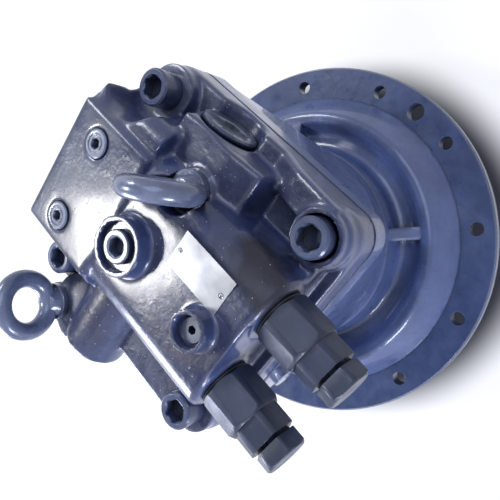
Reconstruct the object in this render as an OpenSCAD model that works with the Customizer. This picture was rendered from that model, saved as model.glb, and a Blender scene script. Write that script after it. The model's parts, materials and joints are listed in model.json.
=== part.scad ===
// Hydraulic swing motor: fixed-displacement axial piston motor with a parking brake,
// two relief valves and two make-up check valves in the valve casing.
// Frame: origin at the centre of the flange's mating face, +Z along the shaft towards
// the valve casing, +X along the relief valves. Millimetres.

/* [Mounting flange] */
// outer radius of the mounting flange
flange_r = 200; // [190:1:215]
// thickness of the flange plate at its rim
flange_t = 15; // [12:0.5:20]
// distance from the flange's rim to the bolt circle
flange_edge = 19; // [16:0.5:22]
// number of flange bolt holes
flange_bolt_count = 12; // [12:1:12]
// radius of one flange bolt hole
flange_hole_r = 7; // [5.5:0.25:8]
// radius of the larger locating hole
flange_pin_r = 9.25; // [8:0.25:10]
// radius of the pilot spigot that enters the gearbox
pilot_r = 150; // [145:0.5:155]
// how far the pilot stands below the mating face
pilot_h = 8; // [6:0.5:12]

/* [Motor casing] */
// radius of the cast drum around the brake
drum_r = 100; // [99:0.5:102]
// height of the joint between motor casing and valve casing
split_z = 222; // [222:0.5:226]
// half the side of the square joint flange
square_half = 115; // [114:0.5:118]
// radius of each corner column, also the corner radius of the joint flange
column_r = 24; // [23:0.5:25]
// width of the flange's flat rim outside the raised shoulder
flange_rim = 35; // [32:0.5:37]
// radius of the crest of the shoulder, outside the ring groove
crest_r = 136; // [134:0.5:138]
// height of the crest above the mating face
crest_z = 45; // [43:0.5:47]
// height of the bottom of the ring groove
groove_z = 29; // [27:0.5:31]

/* [Valve casing] */
// height of the top face that carries the nameplate
top_z = 309; // [308:0.5:312]
// seat height of the four long casing bolts
bolt_seat_z = 261; // [258:0.5:262]
// half the distance between the two main oil passages
passage_y = 36; // [35:0.5:37]
// height of the main oil passages and relief valves
passage_z = 280; // [279:0.5:281]
// radius of a main oil passage
passage_r = 8; // [7:0.5:8]
// radius of the rounded casting over a main passage
passage_wall_r = 29; // [28:0.5:29.5]
// place of the end face that carries the relief valves
valve_face_x = 105; // [104:0.5:106]
// place of the far end face with the two oil ports
port_face_x = -118; // [-122:0.5:-116]
// core radius of a main port thread
port_r = 15.1; // [14:0.1:16]
// half width of the machined port pad
pad_half_y = 58.5; // [56:0.5:60]
// inner edge of the machined port pad
pad_edge_x = -33; // [-36:0.5:-32]
// height of the machined port pad above the cast top face
pad_rise = 2; // [1:0.25:3]
// place of the make-up check valves along X
makeup_x = -24; // [-26:0.5:-22]
// height of the make-up check valves
makeup_z = 256; // [255:0.5:257]

/* [Casing bolts and lifting eyes] */
// distance of each casing bolt from both centre planes
bolt_xy = 90.5; // [90:0.25:91]
// radius of the casing bolt thread
bolt_r = 10; // [10:0.5:10]
// radius of the casing bolt head
bolt_head_r = 15; // [15:0.5:15]
// width across flats of the bolt's hexagon socket
bolt_socket = 17; // [17:1:17]
// outer radius of a lifting eye's ring
eye_outer_r = 32; // [30:0.5:33]
// radius of the eye's round section
eye_wire_r = 8.2; // [7:0.1:8.5]

/* [Rotating group] */
// number of pistons
piston_count = 9; // [9:1:9]
// radius of the piston pitch circle
pitch_r = 52; // [52:0.5:52]
// radius of a cylinder bore
bore_r = 15; // [14.5:0.1:15.2]
// tilt of the shoe plate
tilt = 14.5; // [13:0.25:14.75]
// height where the plane of the ball centres crosses the shaft axis
ball_z = 96; // [95.5:0.25:96.5]
// radius of a piston ball
ball_r = 9.5; // [9:0.1:9.8]
// height of a shoe from its sliding face to the ball centre
shoe_h = 16; // [16:0.5:16.5]
// radius of a shoe's sliding disc
shoe_disc_r = 17.3; // [16.8:0.1:17.3]
// radius of a shoe's neck
shoe_neck_r = 13.5; // [13:0.1:13.6]
// radius of the cylinder block's spline tips
block_r = 76; // [75.5:0.25:76.5]
// lower face of the cylinder block
block_low_z = 120; // [119.5:0.25:121]
// upper face of the cylinder block, where the valve plate seals
block_top_z = 206; // [205:0.5:206]

/* [Shaft and bearings] */
// radius of the shaft at the front bearing and seal
journal_r = 25; // [25:0.5:25]
// radius of the shaft at the rear bearing
rear_journal_r = 20; // [20:0.5:20]
// how far the output end stands below the mating face
output_l = 95; // [80:1:110]
// outer radius of the output spline
spline_r = 24; // [23:0.5:24.5]
// number of output spline teeth
spline_teeth = 16; // [14:1:20]
// outer radius of the front bearing
front_outer_r = 45; // [45:0.5:45]
// outer radius of the rear bearing
rear_outer_r = 34; // [34:0.5:34]

/* [Parking brake] */
// number of friction plates on the cylinder block
friction_count = 3; // [3:1:3]
// thickness of one brake plate
plate_t = 3.2; // [3:0.1:3.2]
// number of brake springs
brake_spring_count = 12; // [8:1:14]
// stroke of the brake piston when the brake is released
brake_stroke = 1.5; // [1:0.25:2]

/* [Hidden] */
$fn = 64;
slip = 0.3;            // gap between faces that move past each other
ease = 0.1;            // gap round a thread or a seated piece
cut = 1;               // how far a cutter runs past the face it opens
paint = "#5f6f8d";
raw_iron = "#7c7f86";
steel = "#a9adb3";
dark_steel = "#4c5058";
bright = "#c9ccd0";
bronze = "#b08a4a";
rubber = "#22242a";
corners = [[-1, 1], [1, 1], [1, -1], [-1, -1]];
sides = [1, -1];

// flange and casing heights
flange_bolt_r = flange_r - flange_edge;
shoulder_r = flange_r - flange_rim;
shoulder_step = 3;
web_t = 13;
taper_foot_r = drum_r + 2;
taper_foot_z = crest_z + 17;
taper_steps = 12;
drain_boss_x = drum_r + 14;
brake_boss_y = square_half + 6;
front_wall_z = 24;
cavity_r = 78;
plate_shelf_z = 132;
plate_bore_r = 86;
piston_shelf_z = 176;
piston_bore_r = 91;
land_z = 214;
land_r = 75;
flange_plate_h = 20;

// shoe plate and retainer, measured square to the tilted plane
shoe_plate_t = 8;
shoe_plate_r = 72;
shoe_plate_hole_r = 36;
shoe_gap = 0.1;
shoe_foot_t = 6;
retainer_t = 6;
retainer_r = 70;
bush_ball_r = 32;
hole_circle_r = pitch_r * (1 / cos(tilt) + 1) / 2;
hole_drift = pitch_r * (1 / cos(tilt) - 1) / 2;
retainer_hole_r = shoe_neck_r + hole_drift + 0.5;

// rotating group
piston_r = bore_r - slip;
piston_l = 77;
block_waist_r = 72;
kidney_w = 9;
block_spline_top_z = 162;
block_spline_teeth = 36;
friction_outer_r = 84.5;
separator_outer_r = plate_bore_r - slip;
separator_inner_r = block_r + 2;
stack_top_z = plate_shelf_z + (2 * friction_count + 1) * plate_t;
brake_top_z = 204;
brake_inner_r = block_r + 2;
small_bore_r = 88.2;
small_groove_z = 163.7;
large_groove_z = 183.7;
brake_seal_r = 1.35;
brake_spring_r = 4.2;
lug_r = 2.6;
brake_spring_circle = (brake_inner_r + piston_bore_r) / 2;
brake_spring_foot_z = 187;

// shaft
block_spline_r = 23;
mid_shaft_r = 22;
collar_r = 30;
collar_z = 47;
shaft_top_z = 243;
rear_bearing_z = 219;
rear_bearing_h = 23;
front_ring_t = 4.1;
front_inner_t = 5.3;
front_race_r = front_outer_r - front_ring_t;
front_roller_r = (front_race_r - journal_r - front_inner_t - 2 * slip) / 2;
front_roller_pitch = front_race_r - slip - front_roller_r;
front_inner_race_r = front_roller_pitch - front_roller_r - slip;
rear_roller_r = 3.5;
rear_roller_pitch = rear_journal_r + slip + rear_roller_r;
rear_race_r = rear_roller_pitch + rear_roller_r + slip;
seal_r = 36;

// valve casing
boss_rim_z = top_z + 14;
makeup_port_x = -8.8;
bleed_x = 77.6;
boss_y = -3.5;
gauge_x = -84;
relief_y = passage_y - 0.4;
relief_bore_r = 15;
relief_step_x = 143;
relief_groove_x = 161;
relief_end_x = 177;
makeup_face_y = 100;
makeup_far_y = 138;
makeup_bore_r = 15;
check_depth = 48;
check_head_r = 24;
check_boss_r = check_head_r + 4.5;
check_stem_r = 8.8;
port_block_z = 272;
port_lobes = [[66, 288, 16], [-42, port_block_z, 36]];
bowl_r = 30;
lower_block_half_y = 65;
eye_seats = [[-1, 55.5, 289], [-76, -134, 268]];
eye_turns = [30, -45];
eye_collar_r = 17;
eye_shank_r = 8;
eye_shank_l = 20;
plug_r = 11.5;
plug_thread_r = 8.3;
drain_z = 118;
nameplate_x = [27, 81];
nameplate_y = [12.8, 43];
nameplate_t = 0.8;

// Points of a round stretch of an outline.
function arc(c, r, from, to, n = 8) =
    [for (i = [0:n]) c + r * [cos(from + (to - from) * i / n), sin(from + (to - from) * i / n)]];

// Place of the ball centre of piston i, on the tilted plane.
function ball_place(i) =
    let (a = i * 360 / piston_count)
    [pitch_r * cos(a), pitch_r * sin(a), ball_z + pitch_r * cos(a) * tan(tilt)];

// Square to the shoe plate: Z is the plate's own axis, with its zero in the ball plane.
module on_tilt() {
    translate([0, 0, ball_z]) rotate([0, -tilt, 0]) children();
}

module ring(outer, inner, h) {
    difference() {
        cylinder(r = outer, h = h);
        translate([0, 0, -cut]) cylinder(r = inner, h = h + 2 * cut);
    }
}

module hexagon(flats, h) {
    cylinder(r = flats / sqrt(3), h = h, $fn = 6);
}

// Square block with round corners, centred on the axis.
module corner_block(half, r, z, h) {
    translate([-half, -half + r, z]) cube([2 * half, 2 * (half - r), h]);
    translate([-half + r, -half, z]) cube([2 * (half - r), 2 * half, h]);
    for (c = corners) translate([c[0] * (half - r), c[1] * (half - r), z]) cylinder(r = r, h = h);
}

// Curved slot through a ring, with round ends.
module kidney(r, width, from, to, h) {
    rotate([0, 0, from]) rotate_extrude(angle = to - from) translate([r - width / 2, 0]) square([width, h]);
    for (a = [from, to]) rotate([0, 0, a]) translate([r, 0, 0]) cylinder(d = width, h = h);
}

// Outline of a splined bar or hole.
module spline_outline(root_r, tip_r, teeth) {
    circle(r = root_r);
    for (i = [0:teeth - 1]) rotate(i * 360 / teeth)
        translate([root_r - 1, -tip_r * 180 / teeth * PI / 360])
            square([tip_r - root_r + 1, tip_r * 180 / teeth * PI / 180]);
}

// Round wire wound into a spring along +Z, from z = 0 to z = h.
module coil(r, wire, h, turns, steps = 8, faces = 4) {
    rise = h - 2 * wire;
    last = turns * steps;
    points = [for (i = [0:last]) let (a = i * 360 / steps, z = wire + rise * i / last)
        for (j = [0:faces - 1]) let (b = j * 360 / faces)
        [(r + wire * cos(b)) * cos(a), (r + wire * cos(b)) * sin(a), z + wire * sin(b)]];
    sheets = [for (i = [0:last - 1]) for (j = [0:faces - 1])
        let (k = (j + 1) % faces, p = i * faces, q = (i + 1) * faces)
        for (t = [[p + j, p + k, q + k], [p + j, q + k, q + j]]) t];
    caps = [[for (j = [faces - 1:-1:0]) j], [for (j = [0:faces - 1]) last * faces + j]];
    polyhedron(points, concat(sheets, caps), convexity = 10);
}

module motor_casing() {
    color(paint) difference() {
        union() {
            casing_shell();
            corner_block(square_half, column_r, split_z - flange_plate_h, flange_plate_h);
            casing_taper();
            for (k = [0:3]) rotate([0, 0, 45 + 90 * k]) groove_web();
            translate([0, 0, drain_z]) rotate([0, -90, 0]) cylinder(r = 16, h = drain_boss_x);
            translate([0, 0, piston_shelf_z]) rotate([90, 0, 0]) cylinder(r = 15, h = brake_boss_y);
            translate([square_half - 4, -38, split_z - 12]) rotate([0, 90, 0]) cylinder(r = 9, h = 12);
        }
        casing_hollow();
        flange_holes();
        for (c = corners) translate([c[0] * bolt_xy, c[1] * bolt_xy, split_z - 38])
            cylinder(r = bolt_r, h = 38 + cut);
        translate([0, 0, drain_z]) rotate([0, -90, 0]) cylinder(r = plug_thread_r, h = drain_boss_x + cut);
        translate([0, 0, piston_shelf_z]) rotate([90, 0, 0]) {
            cylinder(r = 3, h = drum_r + 2);
            translate([0, 0, drum_r]) cylinder(r = plug_thread_r, h = brake_boss_y - drum_r + cut);
        }
        for (s = sides) translate([s * 104, 0, split_z - 12]) cylinder(r = 5, h = 12 + cut);
        translate([0, 0, split_z - 2.6]) rotate_extrude() translate([94.2, 0]) square([3.6, 2.6 + cut]);
    }
}

// Flange, shoulder, ring groove and drum, turned about the shaft.
module casing_shell() {
    shoulder_z = flange_t + shoulder_step;
    rotate_extrude($fn = 128) polygon(concat(
        [[0, -pilot_h], [pilot_r - 1, -pilot_h], [pilot_r, -pilot_h + 1], [pilot_r, 0],
            [flange_r - 1, 0], [flange_r, 1], [flange_r, flange_t - 2], [flange_r - 2, flange_t],
            [shoulder_r, flange_t], [shoulder_r, shoulder_z - 1], [shoulder_r - 2, shoulder_z]],
        arc([crest_r + 4, crest_z - 8], 8, 40, 90, 5),
        arc([crest_r, crest_z - 4], 4, 90, 160, 4),
        arc([drum_r + 20, groove_z + 8], 8, -20, -90, 5),
        arc([drum_r + 13, groove_z + 8], 8, -90, -170, 5),
        arc([drum_r + 1.5, crest_z + 16], 3.5, 0, 60, 4),
        [[drum_r, crest_z + 30], [drum_r, split_z], [0, split_z]]));
}

// Cast wall that is round at the drum's ledge and a square with round corners under the joint flange.
module casing_taper() {
    top_z = split_z - flange_plate_h + 4;
    turns = [for (q = [0:3]) for (i = [0:taper_steps]) [q, i / taper_steps]];
    count = len(turns);
    foot = [for (t = turns) let (a = 90 * t[0] + 2 + 86 * t[1])
        [taper_foot_r * cos(a), taper_foot_r * sin(a), taper_foot_z]];
    top = [for (t = turns) let (a = 90 * (t[0] + t[1]), c = 45 + 90 * t[0], d = (square_half - column_r) * sqrt(2))
        [d * cos(c) + (column_r - 1) * cos(a), d * sin(c) + (column_r - 1) * sin(a), top_z]];
    walls = [for (i = [0:count - 1]) let (k = (i + 1) % count)
        for (t = [[i, count + i, count + k], [i, count + k, k]]) t];
    lids = [[for (i = [0:count - 1]) i], [for (i = [count - 1:-1:0]) count + i]];
    polyhedron(concat(foot, top), concat(walls, lids), convexity = 4);
}

// Rib across the ring groove, below one casing bolt.
module groove_web() {
    translate([0, web_t / 2, 0]) rotate([90, 0, 0]) linear_extrude(web_t) polygon([[drum_r - 5, flange_t],
        [crest_r - 2, flange_t], [crest_r - 2, crest_z - 2], [drum_r + 4, crest_z + 11], [drum_r - 5, crest_z + 11]]);
}

// Everything inside the motor casing, from the oil seal up to the joint face.
module casing_hollow() {
    translate([0, 0, -pilot_h - cut]) cylinder(r = seal_r, h = pilot_h + cut + 20);
    translate([0, 0, 5.2]) cylinder(r = seal_r + 2, h = 2.8);
    translate([0, 0, -pilot_h - cut]) cylinder(r = journal_r + 6, h = 60);
    difference() {
        translate([0, 0, front_wall_z]) cylinder(r = front_outer_r, h = 60);
        on_tilt() translate([0, 0, -shoe_h]) cylinder(r = 120, h = 80);
    }
    difference() {
        translate([0, 0, 40]) cylinder(r = cavity_r, h = plate_shelf_z - 40 + cut);
        on_tilt() translate([0, 0, -80 - shoe_h - 4]) cylinder(r = 120, h = 80);
    }
    on_tilt() translate([0, 0, -shoe_h - shoe_gap - shoe_plate_t]) cylinder(r = shoe_plate_r + ease, h = 20);
    translate([0, 0, plate_shelf_z]) cylinder(r = plate_bore_r, h = split_z - plate_shelf_z);
    for (k = [0:3]) rotate([0, 0, 90 * k]) translate([plate_bore_r - 1, 0, plate_shelf_z])
        cylinder(r = lug_r + slip, h = stack_top_z - plate_shelf_z);
    translate([0, 0, stack_top_z - 0.5]) cylinder(r = small_bore_r, h = piston_shelf_z - stack_top_z + cut);
    translate([0, 0, piston_shelf_z]) cylinder(r = piston_bore_r, h = split_z - piston_shelf_z + cut);
    underside_pocket();
}

// Ring pocket under the flange with six ribs left standing.
module underside_pocket() {
    difference() {
        translate([0, 0, -pilot_h - cut]) ring(pilot_r - 12, 50, pilot_h + cut + 6);
        for (i = [0:5]) rotate([0, 0, 30 + 60 * i]) translate([45, -5, -pilot_h - 2 * cut]) cube([100, 10, 30]);
    }
}

module flange_holes() {
    for (i = [0:flange_bolt_count - 1]) rotate([0, 0, 15 + i * 360 / flange_bolt_count])
        translate([flange_bolt_r, 0, -cut]) cylinder(r = flange_hole_r, h = flange_t + 2 * cut);
    rotate([0, 0, 90]) translate([flange_bolt_r, 0, -cut]) cylinder(r = flange_pin_r, h = flange_t + 2 * cut);
}

module valve_casing() {
    color(paint) difference() {
        union() {
            valve_slab();
            passage_block();
            port_block();
            makeup_arms();
            lifting_ear();
            top_bosses();
            cylinder_land();
        }
        valve_hollow();
        bolt_holes();
    }
}

// Square slab with a boss for each bolt, one of them tall with a sunk bolt head.
module valve_slab() {
    corner_block(square_half, column_r, split_z, 26);
    for (c = corners) translate([c[0] * bolt_xy, c[1] * bolt_xy, split_z])
        cylinder(r = column_r - 1, h = bolt_seat_z - split_z);
    translate([bolt_xy, bolt_xy, split_z]) cylinder(r = bolt_head_r + 6, h = bolt_seat_z + 10 - split_z);
    translate([0, square_half, 0]) rotate([90, 0, 0]) linear_extrude(25) polygon([[0, split_z], [bolt_xy, split_z],
        [bolt_xy, bolt_seat_z + 7], [75, bolt_seat_z + 6], [45, bolt_seat_z - 1], [0, bolt_seat_z - 25]]);
    translate([valve_face_x - 12, relief_y, split_z]) cube([12, bolt_xy - relief_y, 268 - split_z]);
    translate([valve_face_x - 12, -bolt_xy, split_z]) cube([12, bolt_xy - relief_y, 262 - split_z]);
    translate([makeup_x, -square_half, split_z]) cube([bolt_xy - makeup_x, 40, 262 - split_z]);
}

// Central block over the two main passages.
module passage_block() {
    length = valve_face_x + 45;
    translate([-45, -passage_y, split_z]) cube([length, 2 * passage_y, top_z - split_z]);
    translate([-45, -lower_block_half_y, split_z]) cube([length, 2 * lower_block_half_y, passage_z - split_z]);
    for (s = sides) translate([-45, s * passage_y, passage_z]) rotate([0, 90, 0])
        cylinder(r = passage_wall_r, h = length);
    for (s = sides) translate([valve_face_x - 8, s * relief_y, passage_z]) rotate([0, 90, 0])
        cylinder(r = 25, h = 10);
}

// Block with the two oil ports, rounded at both sides and machined flat on top.
module port_block() {
    length = pad_edge_x - port_face_x;
    translate([port_face_x, -pad_half_y, port_block_z - 10])
        cube([length, 2 * pad_half_y, top_z + pad_rise - port_block_z + 10]);
    for (lobe = port_lobes) {
        translate([port_face_x, lobe[0], lobe[1]]) rotate([0, 90, 0]) cylinder(r = lobe[2], h = length - 4);
        translate([port_face_x + 1, lobe[0] - lobe[2], split_z]) cube([length - 5, 2 * lobe[2], lobe[1] - split_z]);
    }
}

// Arms that hold the make-up check valves.
module makeup_arms() {
    translate([0, makeup_face_y - 2, 0]) rotate([90, 0, 0]) linear_extrude(makeup_face_y - 42) polygon([
        [makeup_x - 22, split_z], [38, split_z], [35, makeup_z + 22], [makeup_x + 32, makeup_z + 30],
        [makeup_x - 22, makeup_z + 30]]);
    translate([makeup_x, 50, makeup_z]) rotate([-90, 0, 0]) cylinder(r = check_boss_r, h = makeup_face_y - 50);
    translate([makeup_x, -50, makeup_z]) rotate([90, 0, 0]) cylinder(r = check_boss_r, h = makeup_far_y - 50);
    translate([makeup_x - 14, -makeup_far_y + 8, split_z]) cube([28, 60, makeup_z - split_z - 10]);
}

// Ear for the far lifting eye.
module lifting_ear() {
    seat = eye_seats[1];
    translate([seat[0] + 28, seat[1] + 14, split_z + 6]) cylinder(r = 36, h = seat[2] - split_z - 6);
    translate([seat[0], seat[1], split_z + 14]) cylinder(r = eye_collar_r + 1, h = seat[2] - split_z - 14);
    translate([eye_seats[0][0], eye_seats[0][1], 270]) cylinder(r = 19, h = eye_seats[0][2] - 270);
}

// Round bosses on the top face, for the make-up port and the bleed plug.
module top_bosses() {
    translate([makeup_port_x, boss_y, top_z - 4]) cylinder(r = 23.5, h = boss_rim_z - top_z + 4);
    translate([bleed_x, boss_y, top_z - 4]) cylinder(r = 15.5, h = boss_rim_z - top_z + 4);
}

// Round land that reaches down to the valve plate.
module cylinder_land() {
    translate([0, 0, land_z]) cylinder(r = land_r, h = split_z - land_z + cut);
}

module valve_hollow() {
    translate([0, 0, land_z - cut]) cylinder(r = rear_outer_r, h = rear_bearing_z + rear_bearing_h - land_z + cut);
    translate([0, 0, land_z]) cylinder(r = rear_journal_r + 6, h = shaft_top_z + 3 - land_z);
    for (s = sides) main_passage(s);
    makeup_line();
    translate([makeup_port_x, boss_y, boss_rim_z - 8]) cylinder(r = 19, h = 8 + cut);
    translate([makeup_port_x, boss_y, makeup_z]) cylinder(r = 14, h = boss_rim_z - makeup_z);
    translate([bleed_x, boss_y, boss_rim_z - 9]) cylinder(r = 11.5, h = 9 + cut);
    translate([bleed_x, boss_y, boss_rim_z - 25]) cylinder(r = 6.6, h = 25);
    for (i = [0:brake_spring_count - 1]) rotate([0, 0, (i + 0.5) * 360 / brake_spring_count])
        translate([brake_spring_circle, 0, split_z - cut]) cylinder(r = 4.7, h = 8 + cut);
    for (s = sides) translate([s * 104, 0, split_z - cut]) cylinder(r = 5, h = 8 + cut);
    for (x = [nameplate_x[0] + 4, nameplate_x[1] - 4]) translate([x, nameplate_mid_y(), top_z - 6])
        cylinder(r = 1.2, h = 6 + cut);
    for (e = eye_seats) translate([e[0], e[1], e[2] - eye_shank_l - 1]) cylinder(r = eye_shank_r, h = eye_shank_l + 2);
    translate(eye_seats[0]) cylinder(r = eye_collar_r + 0.5, h = 40);
    translate(eye_seats[0]) rotate([0, 0, eye_turns[0]]) translate([0, 0, eye_outer_r + 2]) rotate([90, 0, 0])
        rotate_extrude() translate([eye_outer_r - eye_wire_r, 0]) circle(r = eye_wire_r + 2, $fn = 40);
}

function nameplate_mid_y() = (nameplate_y[0] + nameplate_y[1]) / 2;

// One oil way: port, passage, relief valve seat, gauge port and the way down to the kidney.
module main_passage(s) {
    translate([port_face_x - cut, s * passage_y, passage_z]) rotate([0, 90, 0]) cylinder(r = port_r, h = 24);
    translate([port_face_x - cut, s * passage_y, passage_z]) rotate([0, 90, 0])
        cylinder(r = passage_r, h = 60 - port_face_x);
    translate([55, s * relief_y, passage_z]) rotate([0, 90, 0]) cylinder(r = relief_bore_r, h = valve_face_x - 50);
    translate([gauge_x, s * passage_y, passage_z]) cylinder(r = 4, h = 40);
    translate([gauge_x, s * passage_y, top_z + pad_rise - 14]) cylinder(r = plug_thread_r, h = 14 + cut);
    translate([gauge_x, s * passage_y, top_z + pad_rise - 3]) cylinder(r = plug_r + 0.8, h = 3 + cut);
    for (a = [45, 140]) rotate([0, 0, s * a]) translate([pitch_r, 0, land_z - cut])
        cylinder(r = kidney_w / 2, h = passage_z - land_z);
    translate([0, 0, land_z - cut]) kidney(pitch_r, kidney_w, 90 * s - 60, 90 * s + 60, 6 + cut);
}

// Cross bore for the two check valves and the gallery between them.
module makeup_line() {
    translate([makeup_x, -makeup_far_y - cut, makeup_z]) rotate([-90, 0, 0])
        cylinder(r = 8, h = makeup_far_y + makeup_face_y);
    for (s = sides) {
        at_check(s) cylinder(r = makeup_bore_r, h = check_depth + cut);
        at_check(s) translate([0, 0, check_depth - 3]) cylinder(r = check_head_r + 0.8, h = 30);
    }
    for (y = [[40, 62], [-100, -40]]) translate([makeup_x, y[0], makeup_z + makeup_bore_r])
        rotate([-90, 0, 0]) cylinder(r = 6, h = y[1] - y[0]);
    translate([makeup_x, 0, makeup_z]) rotate([0, 90, 0]) cylinder(r = 8, h = makeup_port_x - makeup_x);
}

module bolt_holes() {
    for (c = corners) translate([c[0] * bolt_xy, c[1] * bolt_xy, split_z - cut])
        cylinder(r = bolt_r + 0.75, h = bolt_seat_z - split_z + 2 * cut);
    for (c = corners) translate([c[0] * bolt_xy, c[1] * bolt_xy, bolt_seat_z])
        cylinder(r = bolt_head_r + 1.8, h = 60);
    translate([-bolt_xy, bolt_xy, bolt_seat_z]) rotate_extrude() polygon(concat([[0, 0]],
        arc([bowl_r - 12, 12], 12, -90, 0, 6), [[bowl_r, 60], [0, 60]]));
}

module casing_seal() {
    color(rubber) translate([0, 0, split_z - 1.3]) rotate_extrude() translate([96, 0]) circle(r = 1.3, $fn = 24);
}

module dowel_pins() {
    color(steel) for (s = sides) translate([s * 104, 0, split_z - 11]) cylinder(r = 5, h = 17);
}

module main_bolts() {
    color(paint) for (c = corners) translate([c[0] * bolt_xy, c[1] * bolt_xy, 0]) difference() {
        union() {
            translate([0, 0, bolt_seat_z]) cylinder(r = bolt_head_r, h = 18.5);
            translate([0, 0, bolt_seat_z + 18.5]) cylinder(r1 = bolt_head_r, r2 = bolt_head_r - 1.5, h = 1.5);
            translate([0, 0, split_z - 34]) cylinder(r = bolt_r, h = bolt_seat_z - split_z + 35);
        }
        translate([0, 0, bolt_seat_z + 9]) hexagon(bolt_socket, 12);
        translate([0, 0, bolt_seat_z + 18.8]) cylinder(r1 = 9, r2 = 11, h = 2);
    }
}

module nameplate() {
    color("#c3c8cc") difference() {
        translate([nameplate_x[0], nameplate_y[0], top_z])
            cube([nameplate_x[1] - nameplate_x[0], nameplate_y[1] - nameplate_y[0], nameplate_t]);
        for (x = [nameplate_x[0] + 4, nameplate_x[1] - 4]) translate([x, nameplate_mid_y(), top_z - cut])
            cylinder(r = 1.2, h = 3);
    }
}

module nameplate_rivets() {
    color(steel) for (x = [nameplate_x[0] + 4, nameplate_x[1] - 4]) translate([x, nameplate_mid_y(), top_z])
        union() {
            translate([0, 0, -5]) cylinder(r = 1.2, h = 5.9);
            translate([0, 0, nameplate_t]) rotate_extrude() polygon(concat([[0, 0]], arc([0, -1.4], 2.6, 33, 90, 5)));
        }
}

// Two lifting eyes: ring, collar and threaded shank.
module eye_bolts() {
    color("#8b90a0") for (k = [0:1]) translate(eye_seats[k]) rotate([0, 0, eye_turns[k]]) {
        ring_z = eye_outer_r + 2;
        cylinder(r = eye_collar_r, h = 6);
        translate([0, 0, 6]) cylinder(r1 = eye_collar_r - 3, r2 = 10, h = 8);
        translate([0, 0, ring_z]) rotate([90, 0, 0]) rotate_extrude()
            translate([eye_outer_r - eye_wire_r, 0]) circle(r = eye_wire_r, $fn = 40);
        translate([0, 0, -eye_shank_l]) cylinder(r = eye_shank_r, h = eye_shank_l + 1);
    }
}

// Hexagon socket plug, its head under z = 0.
module socket_plug() {
    difference() {
        union() {
            translate([0, 0, -3]) cylinder(r = plug_r, h = 3.5);
            translate([0, 0, 0.5]) cylinder(r1 = plug_r, r2 = plug_r - 1, h = 1);
            translate([0, 0, -13]) cylinder(r = plug_thread_r, h = 11);
        }
        translate([0, 0, -5]) hexagon(8, 8);
        translate([0, 0, 0.9]) ring(plug_r - 3.2, 6.2, 2);
    }
}

// Gauge plugs on the pad, drain plug and brake port plug on the drum.
module socket_plugs() {
    color("#7d8494") {
        for (s = sides) translate([gauge_x, s * passage_y, top_z + pad_rise]) socket_plug();
        translate([-drain_boss_x - 3, 0, drain_z]) rotate([0, -90, 0]) socket_plug();
        translate([0, -brake_boss_y - 3, piston_shelf_z]) rotate([90, 0, 0]) socket_plug();
    }
}

// Large plug sunk in the boss of the make-up port.
module makeup_port_plug() {
    color("#868da0") translate([makeup_port_x, boss_y, boss_rim_z]) difference() {
        union() {
            translate([0, 0, -8]) cylinder(r = 18.6, h = 2);
            translate([0, 0, -6]) cylinder(r = 13.2, h = 4.5);
            translate([0, 0, -1.5]) cylinder(r1 = 13.2, r2 = 12, h = 1.5);
            translate([0, 0, -26]) cylinder(r = 14, h = 18);
        }
        translate([0, 0, -9]) hexagon(14, 12);
        translate([0, 0, -1]) cylinder(r1 = 8.1, r2 = 9.6, h = 1.5);
        translate([0, 0, -27]) cylinder(r = 9, h = 12);
    }
}

module bleed_plug() {
    color("#868da0") translate([bleed_x, boss_y, boss_rim_z - 9]) difference() {
        union() {
            cylinder(r1 = 10.5, r2 = 9, h = 2);
            translate([0, 0, -14]) cylinder(r = 6.6, h = 15);
        }
        translate([0, 0, -4]) hexagon(6, 8);
    }
}

// Plugs that close the two check valves.
module check_plugs() {
    color(paint) {
        for (s = sides) at_check(s) translate([0, 0, check_depth]) check_plug();
    }
}

module check_plug() {
    reach = check_depth - 18;
    difference() {
        union() {
            translate([0, 0, -3]) cylinder(r = check_head_r, h = 5);
            translate([0, 0, 2]) cylinder(r1 = check_head_r, r2 = check_head_r - 1.5, h = 1.5);
            translate([0, 0, -reach]) cylinder(r = makeup_bore_r, h = reach - 2);
        }
        translate([0, 0, -6]) hexagon(14, 12);
        translate([0, 0, -reach - cut]) cylinder(r = check_stem_r + 0.4, h = reach - 9 + cut);
    }
}

// Place of one relief valve: Z runs out of the casing, with its zero at the casing face.
module at_relief(s) {
    translate([valve_face_x + 2, s * relief_y, passage_z]) rotate([0, 90, 0]) children();
}

module relief_bodies() {
    color("#59616f") for (s = sides) at_relief(s) relief_body();
}

// Round-cornered hexagon body, a smaller hexagon beyond the step and the turned groove.
module relief_body() {
    step = relief_step_x - valve_face_x - 2;
    groove = relief_groove_x - valve_face_x - 2;
    difference() {
        union() {
            intersection() {
                translate([0, 0, 2.2]) hexagon(41, step - 2.2);
                translate([0, 0, 2.2]) rotate_extrude() polygon([[0, 0], [20.5, 0], [22.3, 2], [22.3, step - 6],
                    [20.3, step - 2.2], [0, step - 2.2]]);
            }
            intersection() {
                translate([0, 0, step - 1]) rotate([0, 0, 12]) hexagon(36, groove - step + 1);
                translate([0, 0, step - 1]) cylinder(r = 19.2, h = groove - step + 1);
            }
            translate([0, 0, -45]) cylinder(r = relief_bore_r, h = 44);
            translate([0, 0, -1]) cylinder(r = relief_bore_r, h = 3);
            cylinder(r = 18.5, h = 3);
            translate([0, 0, groove - 1]) cylinder(r = 14.5, h = 4);
        }
        translate([0, 0, -46]) cylinder(r = 6, h = 20);
        translate([0, 0, -34]) cylinder(r = 9.5, h = groove + 23);
        translate([0, 0, groove - 11]) cylinder(r = 11, h = 16);
    }
}

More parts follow.
